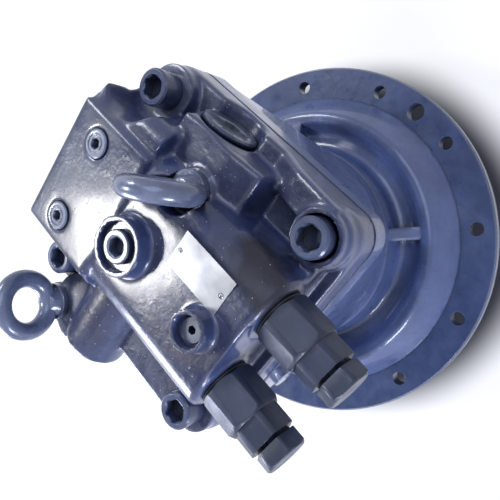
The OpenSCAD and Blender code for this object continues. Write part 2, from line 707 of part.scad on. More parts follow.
// Screwed caps that set the relief pressure, each with its spring rod.
module relief_caps() {
    groove = relief_groove_x - valve_face_x - 2;
    length = relief_end_x - relief_groove_x;
    color("#565e6c") for (s = sides) at_relief(s) {
        intersection() {
            translate([0, 0, groove + 3]) rotate([0, 0, 12]) hexagon(32, length - 3);
            translate([0, 0, groove + 3]) rotate_extrude() polygon([[0, 0], [17.6, 0], [17.6, length - 5],
                [15.6, length - 3], [0, length - 3]]);
        }
        translate([0, 0, groove - 11]) cylinder(r = 11, h = 14.5);
        translate([0, 0, groove - 18]) cylinder(r = 9, h = 8);
        translate([0, 0, groove - 30]) cylinder(r = 3.2, h = 13);
    }
}

module relief_seals() {
    color(rubber) for (s = sides) at_relief(s) rotate_extrude() translate([19.6, 1.1]) circle(r = 1.1, $fn = 24);
}

module relief_poppet(s) {
    color(bright) at_relief(s) rotate_extrude() polygon([[0, -44.5], [4.5, -40], [5.6, -34], [9.1, -33.8], [9.1, -22],
        [3, -22], [3, -24], [0, -24]]);
}

module relief_poppet_a() {
    relief_poppet(1);
}

module relief_poppet_b() {
    relief_poppet(-1);
}

module relief_spring(s) {
    groove = relief_groove_x - valve_face_x - 2;
    color(dark_steel) at_relief(s) translate([0, 0, -22]) coil(6.4, 1.9, groove - 18 + 22, 6, 12, 5);
}

module relief_spring_a() {
    relief_spring(1);
}

module relief_spring_b() {
    relief_spring(-1);
}

// Place of one check valve: Z runs out towards its plug, with its zero on the seat.
module at_check(s) {
    translate([makeup_x, s > 0 ? makeup_face_y - check_depth : check_depth - makeup_far_y, makeup_z])
        rotate([s > 0 ? -90 : 90, 0, 0]) children();
}

module check_poppet(s) {
    color(bright) at_check(s) rotate_extrude() polygon([[0, -3], [5, -3], [7.8, 0.05], [11, 0.05], [11, 7],
        [check_stem_r, 9], [check_stem_r, 22], [6.2, 22], [6.2, 9], [0, 9]]);
}

module check_poppet_a() {
    check_poppet(1);
}

module check_poppet_b() {
    check_poppet(-1);
}

module check_spring(s) {
    color(dark_steel) at_check(s) translate([0, 0, 9]) coil(4.8, 1, check_depth - 18, 6, 12, 5);
}

module check_spring_a() {
    check_spring(1);
}

module check_spring_b() {
    check_spring(-1);
}

module drive_shaft() {
    color(steel) difference() {
        union() {
            translate([0, 0, -output_l + 1.5]) linear_extrude(output_l - 29.5)
                spline_outline(spline_r - 2.6, spline_r, spline_teeth);
            translate([0, 0, -output_l]) cylinder(r1 = spline_r - 4, r2 = spline_r - 2.6, h = 1.6);
            translate([0, 0, -29]) cylinder(r = 20.5, h = 10);
            translate([0, 0, -20]) cylinder(r1 = 23.5, r2 = journal_r, h = 1.5);
            translate([0, 0, -18.5]) cylinder(r = journal_r, h = collar_z + 18.5 + cut);
            translate([0, 0, collar_z]) cylinder(r = collar_r, h = 5);
            translate([0, 0, collar_z + 4]) cylinder(r = mid_shaft_r - 2.2, h = block_top_z - collar_z - 4);
            translate([0, 0, 80]) linear_extrude(110) spline_outline(block_spline_r - 3, block_spline_r, 24);
            translate([0, 0, 190]) cylinder(r = rear_journal_r, h = shaft_top_z - 190 - 1.5);
            translate([0, 0, shaft_top_z - 1.5]) cylinder(r1 = rear_journal_r, r2 = rear_journal_r - 1.5, h = 1.5);
        }
        translate([0, 0, -output_l - cut]) cylinder(r = 6.8, h = 32);
        translate([0, 0, -output_l - cut]) cylinder(r1 = 12, r2 = 6.8, h = 6);
    }
}

module front_outer_ring() {
    lip_r = front_race_r - 2.3;
    color(bright) translate([0, 0, front_wall_z]) rotate_extrude() polygon([[front_race_r, 2.6], [lip_r, 2.6],
        [lip_r, 0], [front_outer_r - 1, 0], [front_outer_r, 1], [front_outer_r, 22], [front_outer_r - 1, 23],
        [lip_r, 23], [lip_r, 20.4], [front_race_r, 20.4]]);
}

module front_inner_ring() {
    lip_r = front_inner_race_r + 2.1;
    color(bright) translate([0, 0, front_wall_z]) rotate_extrude() polygon([[journal_r, 0.2],
        [front_inner_race_r, 0.2], [front_inner_race_r, 20.4], [lip_r, 20.4], [lip_r, 23], [journal_r, 23]]);
}

// Rollers held between the two rings of their cage.
module roller_set(pitch, r, count, h, rail) {
    for (i = [0:count - 1]) rotate([0, 0, i * 360 / count]) translate([pitch, 0, 0]) {
        translate([0, 0, rail + 0.5]) cylinder(r = r, h = h - 1);
        translate([0, 0, rail / 2]) cylinder(r = rail / 2, h = h + rail);
    }
    for (z = [0, h + rail]) translate([0, 0, z]) ring(pitch + rail, pitch - rail, rail);
}

module front_rollers() {
    color(bronze) translate([0, 0, front_wall_z + 2.9]) roller_set(front_roller_pitch, front_roller_r, 16, 13.2, 2);
}

module rear_outer_ring() {
    color(bright) translate([0, 0, rear_bearing_z]) rotate_extrude() polygon([[rear_race_r, 0],
        [rear_outer_r - 1, 0], [rear_outer_r, 1], [rear_outer_r, rear_bearing_h], [rear_race_r, rear_bearing_h]]);
}

module rear_rollers() {
    color(bronze) translate([0, 0, rear_bearing_z + 1]) roller_set(rear_roller_pitch, rear_roller_r, 14, 17, 2);
}

// Lip seal in the casing's front wall.
module oil_seal() {
    color(rubber) translate([0, 0, 8]) rotate_extrude() polygon([[seal_r, 0], [seal_r, 12], [journal_r + 3, 12],
        [journal_r + 0.15, 6.5], [journal_r + 0.15, 5.5], [journal_r + 2, 3], [journal_r + 4, 6],
        [journal_r + 4, 9.5], [seal_r - 3, 9.5], [seal_r - 3, 0]]);
}

// Snap ring below the seal, with its gap and its two eyes.
module seal_circlip() {
    color(dark_steel) translate([0, 0, 5.5]) linear_extrude(2.4) difference() {
        union() {
            circle(r = seal_r + 1.8);
            for (a = [-12, 12]) rotate(a - 90) translate([seal_r - 3, 0]) circle(r = 4);
        }
        difference() {
            circle(r = seal_r - 2.5);
            for (a = [-12, 12]) rotate(a - 90) translate([seal_r - 3, 0]) circle(r = 4);
        }
        for (a = [-12, 12]) rotate(a - 90) translate([seal_r - 3.6, 0]) circle(r = 1.3);
        translate([-3.5, -60]) square([7, 40]);
    }
}

module shoe_plate() {
    color(steel) on_tilt() translate([0, 0, -shoe_h - shoe_gap - shoe_plate_t])
        ring(shoe_plate_r, shoe_plate_hole_r, shoe_plate_t);
}

// Plate that holds the shoes down, with a ball seat in the middle.
module retainer_plate() {
    low = -shoe_h + shoe_foot_t + ease;
    color(steel) on_tilt() difference() {
        translate([0, 0, low]) cylinder(r = retainer_r, h = retainer_t);
        sphere(r = bush_ball_r + slip, $fn = 96);
        for (i = [0:piston_count - 1]) rotate([0, 0, i * 360 / piston_count])
            translate([hole_circle_r, 0, low - cut]) cylinder(r = retainer_hole_r, h = retainer_t + 2 * cut);
    }
}

module spherical_bush() {
    color(dark_steel) translate([0, 0, ball_z]) difference() {
        union() {
            intersection() {
                sphere(r = bush_ball_r, $fn = 96);
                translate([0, 0, -20]) cylinder(r = bush_ball_r + 1, h = 30);
            }
            translate([0, 0, 9]) cylinder(r = 34.5, h = 11);
        }
        translate([0, 0, -21]) linear_extrude(60) spline_outline(block_spline_r - 2.8, block_spline_r + 0.2, 24);
    }
}

module cylinder_block() {
    color(steel) difference() {
        union() {
            translate([0, 0, block_low_z]) cylinder(r = block_waist_r, h = block_top_z - block_low_z);
            translate([0, 0, block_low_z + 4]) linear_extrude(block_spline_top_z - block_low_z - 4)
                spline_outline(block_waist_r, block_r, block_spline_teeth);
        }
        translate([0, 0, block_low_z - cut]) linear_extrude(block_top_z)
            spline_outline(block_spline_r - 2.8, block_spline_r + 0.2, 24);
        translate([0, 0, 192]) cylinder(r = 28, h = 20);
        for (i = [0:piston_count - 1]) rotate([0, 0, i * 360 / piston_count]) {
            translate([pitch_r, 0, block_low_z - cut]) cylinder(r = bore_r, h = 192 - block_low_z);
            kidney_at(-11, 11);
            rotate([0, 0, 180 / piston_count]) translate([30, 0, block_low_z - cut]) cylinder(r = 4.4, h = 31);
        }
    }
}

module kidney_at(from, to) {
    translate([0, 0, 188]) kidney(pitch_r, kidney_w, from, to, 20);
}

// Small springs that press the bush and the retainer down.
module cylinder_springs() {
    color(dark_steel) for (i = [0:piston_count - 1]) rotate([0, 0, (i + 0.5) * 360 / piston_count])
        translate([30, 0, ball_z + 20]) coil(3.3, 0.9, block_low_z + 30 - ball_z - 20, 5);
}

module valve_plate() {
    color(bronze) translate([0, 0, block_top_z + 0.1]) difference() {
        ring(73, 38, land_z - block_top_z - 0.1);
        for (s = sides) translate([0, 0, -cut]) kidney(pitch_r, kidney_w, 90 * s - 68, 90 * s + 68, 20);
    }
}

module friction_plates() {
    color(bronze) for (i = [0:friction_count - 1]) translate([0, 0, plate_shelf_z + (2 * i + 1) * plate_t])
        linear_extrude(plate_t) difference() {
            circle(r = friction_outer_r);
            spline_outline(block_waist_r + ease, block_r + ease, block_spline_teeth);
        }
}

// Plain plates held still by four lugs in the casing.
module separator_plates() {
    color(steel) for (i = [0:friction_count]) translate([0, 0, plate_shelf_z + 2 * i * plate_t])
        linear_extrude(plate_t) difference() {
            union() {
                circle(r = separator_outer_r);
                for (k = [0:3]) rotate(90 * k) translate([plate_bore_r - 1, 0]) circle(r = lug_r);
            }
            circle(r = separator_inner_r);
        }
}

// Ring piston that clamps the brake plates, with seal grooves and spring pockets.
module brake_piston() {
    small_r = small_bore_r - slip;
    large_r = piston_bore_r - slip;
    deep = 2 * brake_seal_r - slip;
    half = brake_seal_r + 0.35;
    color(dark_steel) difference() {
        rotate_extrude($fn = 96) polygon([[brake_inner_r, stack_top_z], [small_r, stack_top_z],
            [small_r, small_groove_z - half], [small_r - deep, small_groove_z - half],
            [small_r - deep, small_groove_z + half], [small_r, small_groove_z + half],
            [small_r, piston_shelf_z + 1.5], [large_r, piston_shelf_z + 1.5],
            [large_r, large_groove_z - half], [large_r - deep, large_groove_z - half],
            [large_r - deep, large_groove_z + half], [large_r, large_groove_z + half],
            [large_r, brake_top_z], [brake_inner_r, brake_top_z]]);
        for (i = [0:brake_spring_count - 1]) rotate([0, 0, (i + 0.5) * 360 / brake_spring_count])
            translate([brake_spring_circle, 0, brake_spring_foot_z]) cylinder(r = 4.7, h = 30);
    }
}

module brake_springs() {
    color(dark_steel) for (i = [0:brake_spring_count - 1]) rotate([0, 0, (i + 0.5) * 360 / brake_spring_count])
        translate([brake_spring_circle, 0, brake_spring_foot_z])
            coil(brake_spring_r - 0.9, 0.9, split_z + 8 - brake_spring_foot_z, 6);
}

module brake_seals() {
    color(rubber) {
        for (p = [[small_bore_r, small_groove_z], [piston_bore_r, large_groove_z]])
            translate([0, 0, p[1]]) rotate_extrude($fn = 96) translate([p[0] - brake_seal_r, 0])
                circle(r = brake_seal_r, $fn = 24);
    }
}

// Shoe i: sliding disc, neck and ball socket, square to the shoe plate.
module shoe(i) {
    color(bronze) translate(ball_place(i)) rotate([0, -tilt, 0]) difference() {
        rotate_extrude() polygon([[0, -shoe_h], [shoe_disc_r - 0.6, -shoe_h], [shoe_disc_r, -shoe_h + 0.6],
            [shoe_disc_r, -shoe_h + shoe_foot_t], [shoe_neck_r, -shoe_h + shoe_foot_t], [shoe_neck_r, 1.5],
            [shoe_neck_r - 1.5, 3], [0, 3]]);
        sphere(r = ball_r + slip);
        translate([0, 0, -shoe_h - cut]) cylinder(r = 1.2, h = 20);
        translate([0, 0, -shoe_h - cut]) ring(12, 8, cut + 1);
    }
}

// Piston i: ball, waist and hollow barrel, parallel to the shaft.
module piston(i) {
    color(bright) translate(ball_place(i)) difference() {
        union() {
            sphere(r = ball_r);
            translate([0, 0, 5]) cylinder(r = 7, h = 5);
            translate([0, 0, 8.5]) cylinder(r1 = 7, r2 = piston_r, h = 4);
            translate([0, 0, 12.5]) cylinder(r = piston_r, h = piston_l - 12.5);
        }
        translate([0, 0, 24]) cylinder(r = 9, h = piston_l);
        translate([0, 0, -20]) cylinder(r = 1.2, h = 60);
    }
}

motor_casing();
valve_casing();
casing_seal();
dowel_pins();
main_bolts();
nameplate();
nameplate_rivets();
eye_bolts();
socket_plugs();
makeup_port_plug();
bleed_plug();
check_plugs();
relief_bodies();
relief_caps();
relief_seals();
relief_poppet_a();
relief_poppet_b();
relief_spring_a();
relief_spring_b();
check_poppet_a();
check_poppet_b();
check_spring_a();
check_spring_b();
drive_shaft();
front_outer_ring();
front_inner_ring();
front_rollers();
rear_outer_ring();
rear_rollers();
oil_seal();
seal_circlip();
shoe_plate();
retainer_plate();
spherical_bush();
cylinder_block();
cylinder_springs();
valve_plate();
friction_plates();
separator_plates();
brake_piston();
brake_springs();
brake_seals();
for (i = [1:piston_count]) shoe(i - 1);
for (i = [1:piston_count]) piston(i - 1);
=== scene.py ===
"""Dresses the swing motor: cast skins, enamel, bare metal, springs, studio and camera.

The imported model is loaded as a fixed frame. Each sub-assembly is a class that takes its
place from the CAD nodes, builds its own meshes and gives every visible piece its finish.
"""
import json
import logging
import math
from dataclasses import dataclass, field
from enum import Enum, IntEnum

import bmesh
import bpy
import numpy as np
from mathutils import Matrix, Vector


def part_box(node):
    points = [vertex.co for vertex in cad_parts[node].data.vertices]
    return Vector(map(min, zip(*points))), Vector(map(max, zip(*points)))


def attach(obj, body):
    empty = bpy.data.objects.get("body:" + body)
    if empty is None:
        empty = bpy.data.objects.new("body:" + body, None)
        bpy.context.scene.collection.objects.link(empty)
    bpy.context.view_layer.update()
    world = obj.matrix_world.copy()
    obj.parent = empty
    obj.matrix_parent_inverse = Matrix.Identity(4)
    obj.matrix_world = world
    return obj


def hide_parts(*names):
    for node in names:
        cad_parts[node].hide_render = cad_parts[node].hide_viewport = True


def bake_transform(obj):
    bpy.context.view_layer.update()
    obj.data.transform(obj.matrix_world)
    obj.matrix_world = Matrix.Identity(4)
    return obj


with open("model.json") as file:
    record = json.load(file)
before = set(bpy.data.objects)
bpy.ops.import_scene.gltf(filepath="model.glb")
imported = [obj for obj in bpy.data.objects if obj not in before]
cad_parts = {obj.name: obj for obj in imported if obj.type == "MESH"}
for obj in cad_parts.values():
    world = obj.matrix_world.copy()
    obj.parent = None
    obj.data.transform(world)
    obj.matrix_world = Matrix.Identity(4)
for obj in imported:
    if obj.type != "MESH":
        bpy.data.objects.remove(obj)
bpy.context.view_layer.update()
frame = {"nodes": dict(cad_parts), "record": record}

log = logging.getLogger("swing_motor")
Colour = tuple[float, float, float, float]
Point = tuple[float, float, float]
Tree = bpy.types.NodeTree
Socket = bpy.types.NodeSocket
MM = 0.001
MM_PER_M = 1000.0

# Sizes of the patterns in the enamel, in millimetres.
SHADE_DRIFT_MM = 60.0
OIL_PATCH_MM = 50.0
RUBBED_MM = 34.0
FLOW_MM = 22.0
GLOSS_DRIFT_MM = 16.0
DIRT_EDGE_MM = 14.0
RECESS_MM = 12.0
MARK_MM = 9.0
LUMP_MM = 7.0
FLANGE_FADE_MM = 3.0
NOISE_ROUGHNESS = 0.55
MARK_STRENGTH = 0.22

# Colours laid over the enamel: scratches and oil stains are real; the others are painted shade and
# painted sheen.
LEVEL_SHADE_TONE = "#232a44"
SCRATCHED = "#b9bec6"
OILY = "#4a423c"
PAD_SHEEN_TONE = "#a3abb3"
FLANGE_SHADE_TONE = "#35415c"
SLOPE_SHADE_TONE = "#1d1c24"


class Axis(IntEnum):
    """Axes of the frame, as places in a point."""

    X = 0
    Y = 1
    Z = 2


class Body(Enum):
    """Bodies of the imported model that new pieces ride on."""

    CASING = "casing"
    ROTOR = "rotor"


class Slot(Enum):
    """Material slots of the record."""

    ENAMEL = "enamel"
    ENAMEL_PALE = "enamel_pale"
    ENAMEL_DARK = "enamel_dark"
    NITRILE = "nitrile"
    HARD_STEEL = "hard_steel"
    GROUND_STEEL = "ground_steel"
    SPRING_STEEL = "spring_steel"
    PLATE = "plate_aluminium"
    BRONZE = "bronze"
    SINTERED = "sintered_bronze"


def linear(hex_colour: str) -> Colour:
    """Turns an sRGB hex colour into the linear colour that a shader socket takes.

    Args:
        hex_colour: Colour such as "#5f6f8d".

    Returns:
        Linear red, green, blue and an alpha of 1.
    """
    parts = [int(hex_colour[i:i + 2], 16) / 255.0 for i in (1, 3, 5)]
    curve = [p / 12.92 if p <= 0.04045 else ((p + 0.055) / 1.055) ** 2.4 for p in parts]
    return (curve[0], curve[1], curve[2], 1.0)


def add(tree: Tree, kind: str, inputs: dict | None = None, **settings) -> bpy.types.Node:
    """Adds one node with its settings, values and links.

    Args:
        tree: Node tree that gets the node.
        kind: Blender's name of the node type.
        inputs: Socket name or number to a value, or to the output socket linked to it.
        **settings: Properties of the node itself.

    Returns:
        The new node.
    """
    node = tree.nodes.new(kind)
    for name, value in settings.items():
        setattr(node, name, value)
    for key, value in (inputs or {}).items():
        if isinstance(value, bpy.types.NodeSocket):
            tree.links.new(value, node.inputs[key])
        else:
            node.inputs[key].default_value = value
    return node


def blank_material(name: str) -> tuple[bpy.types.Material, Tree]:
    """Makes an empty node material.

    Args:
        name: Name of the material.

    Returns:
        The material and its node tree.
    """
    material = bpy.data.materials.new(name)
    material.use_nodes = True
    material.node_tree.nodes.clear()
    return material, material.node_tree


def millimetres(tree: Tree) -> Socket:
    """Object coordinates in millimetres, so that pattern scales are real sizes."""
    place = add(tree, "ShaderNodeTexCoord").outputs["Object"]
    return add(tree, "ShaderNodeVectorMath", {0: place, "Scale": MM_PER_M},
               operation="SCALE").outputs["Vector"]


def patches(tree: Tree, place: Socket, size_mm: float, detail: float = 4.0, *, low: float,
            high: float, out_low: float = 0.0, out_high: float = 1.0) -> Socket:
    """Cloudy patches, cut to the part of their range that shows.

    Args:
        tree: Node tree of the material.
        place: Where the pattern is read.
        size_mm: Size of the largest patches.
        detail: How finely their edges break up.
        low: Raw value that gives out_low, as does all below it.
        high: Raw value that gives out_high, as does all above it.
        out_low: Value outside the patches.
        out_high: Value inside them.

    Returns:
        The pattern.
    """
    cloud = add(tree, "ShaderNodeTexNoise", {
        "Vector": place, "Scale": 1.0 / size_mm, "Detail": detail, "Roughness": NOISE_ROUGHNESS})
    return add(tree, "ShaderNodeMapRange", {
        "Value": cloud.outputs["Fac"], "From Min": low, "From Max": high, "To Min": out_low,
        "To Max": out_high}).outputs["Result"]


def ramp(tree: Tree, vector: Socket, axis: str, low: float, high: float,
         out_low: float = 0.0, out_high: float = 1.0) -> Socket:
    """Slope along one axis of a vector, held at both ends.

    Args:
        tree: Node tree of the material.
        vector: Place or direction.
        axis: "X", "Y" or "Z".
        low: Where the slope starts.
        high: Where it ends.
        out_low: Value at its start.
        out_high: Value at its end.

    Returns:
        The slope.
    """
    along = add(tree, "ShaderNodeSeparateXYZ", {0: vector}).outputs[axis]
    return add(tree, "ShaderNodeMapRange", {
        "Value": along, "From Min": low, "From Max": high, "To Min": out_low,
        "To Max": out_high}).outputs["Result"]


def layer(tree: Tree, under: Socket | str, over: Socket | str, *amounts: Socket | float) -> Socket:
    """Lays one colour over another.

    Args:
        tree: Node tree of the material.
        under: Colour below, as a socket or sRGB hex.
        over: Colour on top, as a socket or sRGB hex.
        *amounts: Values whose product says how much of the top colour shows.

    Returns:
        The colour.
    """
    amount = amounts[0]
    for factor in amounts[1:]:
        amount = add(tree, "ShaderNodeMath", {0: amount, 1: factor},
                     operation="MULTIPLY").outputs[0]
    first, second = (linear(side) if isinstance(side, str) else side for side in (under, over))
    return add(tree, "ShaderNodeMix", {0: amount, 6: first, 7: second},
               data_type="RGBA").outputs[2]


def relief(tree: Tree, place: Socket, normal: Socket, size_mm: float, detail: float,
           strength: float, depth_mm: float) -> Socket:
    """Roughens a surface with cloudy lumps.

    Args:
        tree: Node tree of the material.
        place: Object coordinates in millimetres.
        normal: Normal of the surface so far.
        size_mm: Size of the largest lumps.
        detail: How finely they break up.
        strength: How much of the relief shows.
        depth_mm: Height of the lumps.

    Returns:
        The new normal.
    """
    cloud = add(tree, "ShaderNodeTexNoise", {
        "Vector": place, "Scale": 1.0 / size_mm, "Detail": detail, "Roughness": NOISE_ROUGHNESS})
    return add(tree, "ShaderNodeBump", {
        "Strength": strength, "Distance": depth_mm * MM, "Height": cloud.outputs["Fac"],
        "Normal": normal}).outputs["Normal"]


def level_faces(tree: Tree) -> Socket:
    """1 on faces that look straight up, 0 on those that look well aside."""
    normal = add(tree, "ShaderNodeNewGeometry").outputs["Normal"]
    return ramp(tree, normal, "Z", 0.55, 0.97)


@dataclass(frozen=True)
class Enamel:
    """Machinery enamel, sprayed in one thick gloss coat over sand-cast or forged iron.

    It flows into soft edges and shows the sand skin below it. Faces that look up take its
    greyer pale colour in rubbed patches: dust on most finishes, painted shade on the casing.
    Its recesses are darkened as painted shade.
    """

    name: str
    base: str
    deep: str
    pale: str
    pale_amount: float = 0.5
    roughness: float = 0.3
    skin_mm: float = 0.12
    skin_pitch_mm: float = 2.4
    edge_mm: float = 1.0
    coat: float = 0.35
    coat_roughness: float = 0.08
    lump_mm: float = 0.15
    scratch: float = 0.08
    fillet_mm: float = 0.0
    fillet_above_mm: float = 18.0
    recess_dark: float = 0.3
    oil_film: float = 0.0
    # Painted light: shade on level faces, a shade strip, a pad sheen, flange shade, recess shade.
    level_shade: float = 0.0
    slope_shade_strip: bool = False
    pad_sheen: float = 0.0
    flange_shade: float = 0.0
    recess_shade: str = "#10131d"

    def paint(self, tree: Tree, place: Socket, level: Socket, rubbed: Socket) -> Socket:
        """Paint colour with drift, painted level-face shade, wear, handling marks and scratches.

        Args:
            tree: Node tree of the material.
            place: Object coordinates in millimetres.
            level: 1 on faces that look up.
            rubbed: Pattern of the rubbed patches.

        Returns:
            The colour.
        """
        shade = patches(tree, place, SHADE_DRIFT_MM, low=0.38, high=0.62)
        colour = layer(tree, self.base, self.deep, shade)
        if self.level_shade:
            # Level faces are painted darker than the sides, as painted shade.
            colour = layer(tree, colour, LEVEL_SHADE_TONE, level, self.level_shade)
        # Up-facing faces take the pale colour: dust on most finishes, painted shade on the casing.
        colour = layer(tree, colour, self.pale, level, rubbed, self.pale_amount)
        marks = patches(tree, place, MARK_MM, 6.0, low=0.5, high=0.72)
        colour = layer(tree, colour, self.pale, marks, MARK_STRENGTH)
        # Fine scratches, 0.6 mm wide and about 25 mm long, run across the faces that look up.
        streak = add(tree, "ShaderNodeMapping", {
            "Vector": place, "Rotation": (0.0, 0.0, 0.6), "Scale": (0.04, 1.6, 1.0)})
        scratch = patches(tree, streak.outputs["Vector"], 1.0, 2.0, low=0.66, high=0.72)
        return layer(tree, colour, SCRATCHED, scratch, level, self.scratch)

    def stain_sheen_and_shade(self, tree: Tree, place: Socket, level: Socket, rubbed: Socket,
             colour: Socket) -> Socket:
        """Colour under oil film, painted port pad sheen and painted flange shade.

        Args:
            tree: Node tree of the material.
            place: Object coordinates in millimetres.
            level: 1 on faces that look up.
            rubbed: Pattern of the rubbed patches.
            colour: Colour of the clean paint.

        Returns:
            The colour with its stains, painted sheen and painted shade.
        """
        if self.oil_film:
            # Oil has dried to brown patches.
            film = patches(tree, place, OIL_PATCH_MM, 6.0, low=0.5, high=0.66,
                           out_high=self.oil_film)
            colour = layer(tree, colour, OILY, film)
        if self.pad_sheen:
            # Level port pads at the -X end are painted paler, as a painted sheen of the glare.
            end = ramp(tree, place, "X", -50.0, -80.0, 0.0, self.pad_sheen)
            colour = layer(tree, colour, PAD_SHEEN_TONE, end, level, rubbed)
        if self.flange_shade:
            # The flange below the drum is painted darker and greyer, as painted shade.
            low = ramp(tree, place, "Z", self.fillet_above_mm,
                       self.fillet_above_mm - FLANGE_FADE_MM, 0.0, self.flange_shade)
            colour = layer(tree, colour, FLANGE_SHADE_TONE, low)
        return colour

    @staticmethod
    def slope_shade(tree: Tree, place: Socket) -> Socket:
        """Ragged strip of painted shade, about 80 by 36 mm, on the flat beside the nameplate.

        Args:
            tree: Node tree of the material.
            place: Object coordinates in millimetres.

        Returns:
            1 in the strip and 0 outside it.
        """
        strip = add(tree, "ShaderNodeMapping", {
            "Vector": place, "Location": (86.0, 56.0, 298.0), "Rotation": (0.0, 0.0, -0.46),
            "Scale": (42.0, 19.0, 40.0)}, vector_type="TEXTURE")
        away = add(tree, "ShaderNodeVectorMath", {0: strip.outputs["Vector"]},
                   operation="LENGTH").outputs["Value"]
        cloud = add(tree, "ShaderNodeTexNoise", {
            "Vector": place, "Scale": 1.0 / DIRT_EDGE_MM, "Detail": 5.0,
            "Roughness": NOISE_ROUGHNESS})
        ragged = add(tree, "ShaderNodeMath", {0: cloud.outputs["Fac"], 1: 0.9, 2: away},
                     operation="MULTIPLY_ADD")
        return add(tree, "ShaderNodeMapRange", {
            "Value": ragged.outputs[0], "From Min": 1.45, "From Max": 1.0}).outputs["Result"]

    def shade_recesses(self, tree: Tree, colour: Socket) -> Socket:
        """Darkens every recess by how closed in it is: painted shade.

        Args:
            tree: Node tree of the material.
            colour: Colour of the paint.

        Returns:
            The darkened colour.
        """
        depth = add(tree, "ShaderNodeAmbientOcclusion", {"Distance": RECESS_MM * MM}, samples=6)
        open_air = add(tree, "ShaderNodeMapRange", {
            "Value": depth.outputs["AO"], "From Min": self.recess_dark,
            "From Max": self.recess_dark + 0.5}).outputs["Result"]
        return layer(tree, self.recess_shade, colour, open_air)

    def normal(self, tree: Tree, place: Socket) -> Socket:
        """Normal with soft edges, the flow of the paint, lumps and the sand skin.

        Args:
            tree: Node tree of the material.
            place: Object coordinates in millimetres.

        Returns:
            The normal.
        """
        radius: float | Socket = self.edge_mm * MM
        if self.fillet_mm:
            # Cast fillets above the machined flange are wider than its edges.
            radius = ramp(tree, place, "Z", self.fillet_above_mm,
                          self.fillet_above_mm + FLANGE_FADE_MM, radius, self.fillet_mm * MM)
        edge = add(tree, "ShaderNodeBevel", {"Radius": radius}, samples=6).outputs["Normal"]
        flow = relief(tree, place, edge, FLOW_MM, 2.0, strength=0.6, depth_mm=0.9)
        lumps = relief(tree, place, flow, LUMP_MM, 2.0, strength=0.8, depth_mm=self.lump_mm)
        return relief(tree, place, lumps, self.skin_pitch_mm, 3.0, strength=0.7,
                      depth_mm=self.skin_mm)

    def material(self) -> bpy.types.Material:
        """Builds the finish.

        Returns:
            The node material.
        """
        material, tree = blank_material(self.name)
        place = millimetres(tree)
        level = level_faces(tree)
        # Rubbed patches carry wear; on the casing, painted shade; on the port pads, painted sheen.
        rubbed = patches(tree, place, RUBBED_MM, 7.0, low=0.36, high=0.6, out_low=0.35)
        colour = self.paint(tree, place, level, rubbed)
        colour = self.stain_sheen_and_shade(tree, place, level, rubbed, colour)
        gloss = patches(tree, place, GLOSS_DRIFT_MM, 5.0, low=0.35, high=0.65,
                        out_low=self.roughness - 0.06, out_high=self.roughness + 0.12)
        coat: float | Socket = self.coat
        if self.slope_shade_strip:
            # The strip is painted dark as painted shade, and the gloss is taken off below it.
            slope_shade = self.slope_shade(tree, place)
            colour = layer(tree, colour, SLOPE_SHADE_TONE, slope_shade, 0.9)
            gloss = add(tree, "ShaderNodeMath", {0: slope_shade, 1: 0.12, 2: gloss},
                        operation="MULTIPLY_ADD").outputs[0]
            coat = add(tree, "ShaderNodeMapRange", {
                "Value": slope_shade, "To Min": self.coat, "To Max": 0.1}).outputs["Result"]
        surface = add(tree, "ShaderNodeBsdfPrincipled", {
            "Base Color": self.shade_recesses(tree, colour), "Roughness": gloss, "Metallic": 0.0,
            "IOR": 1.5, "Specular IOR Level": 0.4, "Coat Weight": coat,
            "Coat Roughness": self.coat_roughness, "Normal": self.normal(tree, place)})
        add(tree, "ShaderNodeOutputMaterial", {"Surface": surface.outputs["BSDF"]})
        return material


@dataclass(frozen=True)
class Metal:
    """Bare machined metal: turned, ground or drawn, with fine lines along one direction."""

    name: str
    base: str
    shade: str
    roughness: float = 0.3
    line_mm: float = 0.5
    edge_mm: float = 0.4

    def material(self) -> bpy.types.Material:
        """Builds the finish.

        Returns:
            The node material.
        """
        material, tree = blank_material(self.name)
        place = millimetres(tree)
        stain = patches(tree, place, 24.0, 5.0, low=0.4, high=0.66)
        # Tool lines are drawn coarser than real ones, so that they show.
        drawn = add(tree, "ShaderNodeMapping", {
            "Vector": place, "Scale": (0.02, 0.02, 1.0 / self.line_mm)})
        lines = add(tree, "ShaderNodeTexNoise", {
            "Vector": drawn.outputs["Vector"], "Scale": 1.0, "Detail": 2.0,
            "Roughness": NOISE_ROUGHNESS}).outputs["Fac"]
        gloss = add(tree, "ShaderNodeMapRange", {
            "Value": lines, "From Min": 0.3, "From Max": 0.7, "To Min": self.roughness - 0.07,
            "To Max": self.roughness + 0.09})
        edge = add(tree, "ShaderNodeBevel", {"Radius": self.edge_mm * MM}, samples=4)
        scored = add(tree, "ShaderNodeBump", {
            "Strength": 0.35, "Distance": 0.03 * MM, "Height": lines,
            "Normal": edge.outputs["Normal"]})
        surface = add(tree, "ShaderNodeBsdfPrincipled", {
            "Base Color": layer(tree, self.base, self.shade, stain),
            "Roughness": gloss.outputs["Result"], "Metallic": 1.0,
            "Normal": scored.outputs["Normal"]})
        add(tree, "ShaderNodeOutputMaterial", {"Surface": surface.outputs["BSDF"]})
        return material


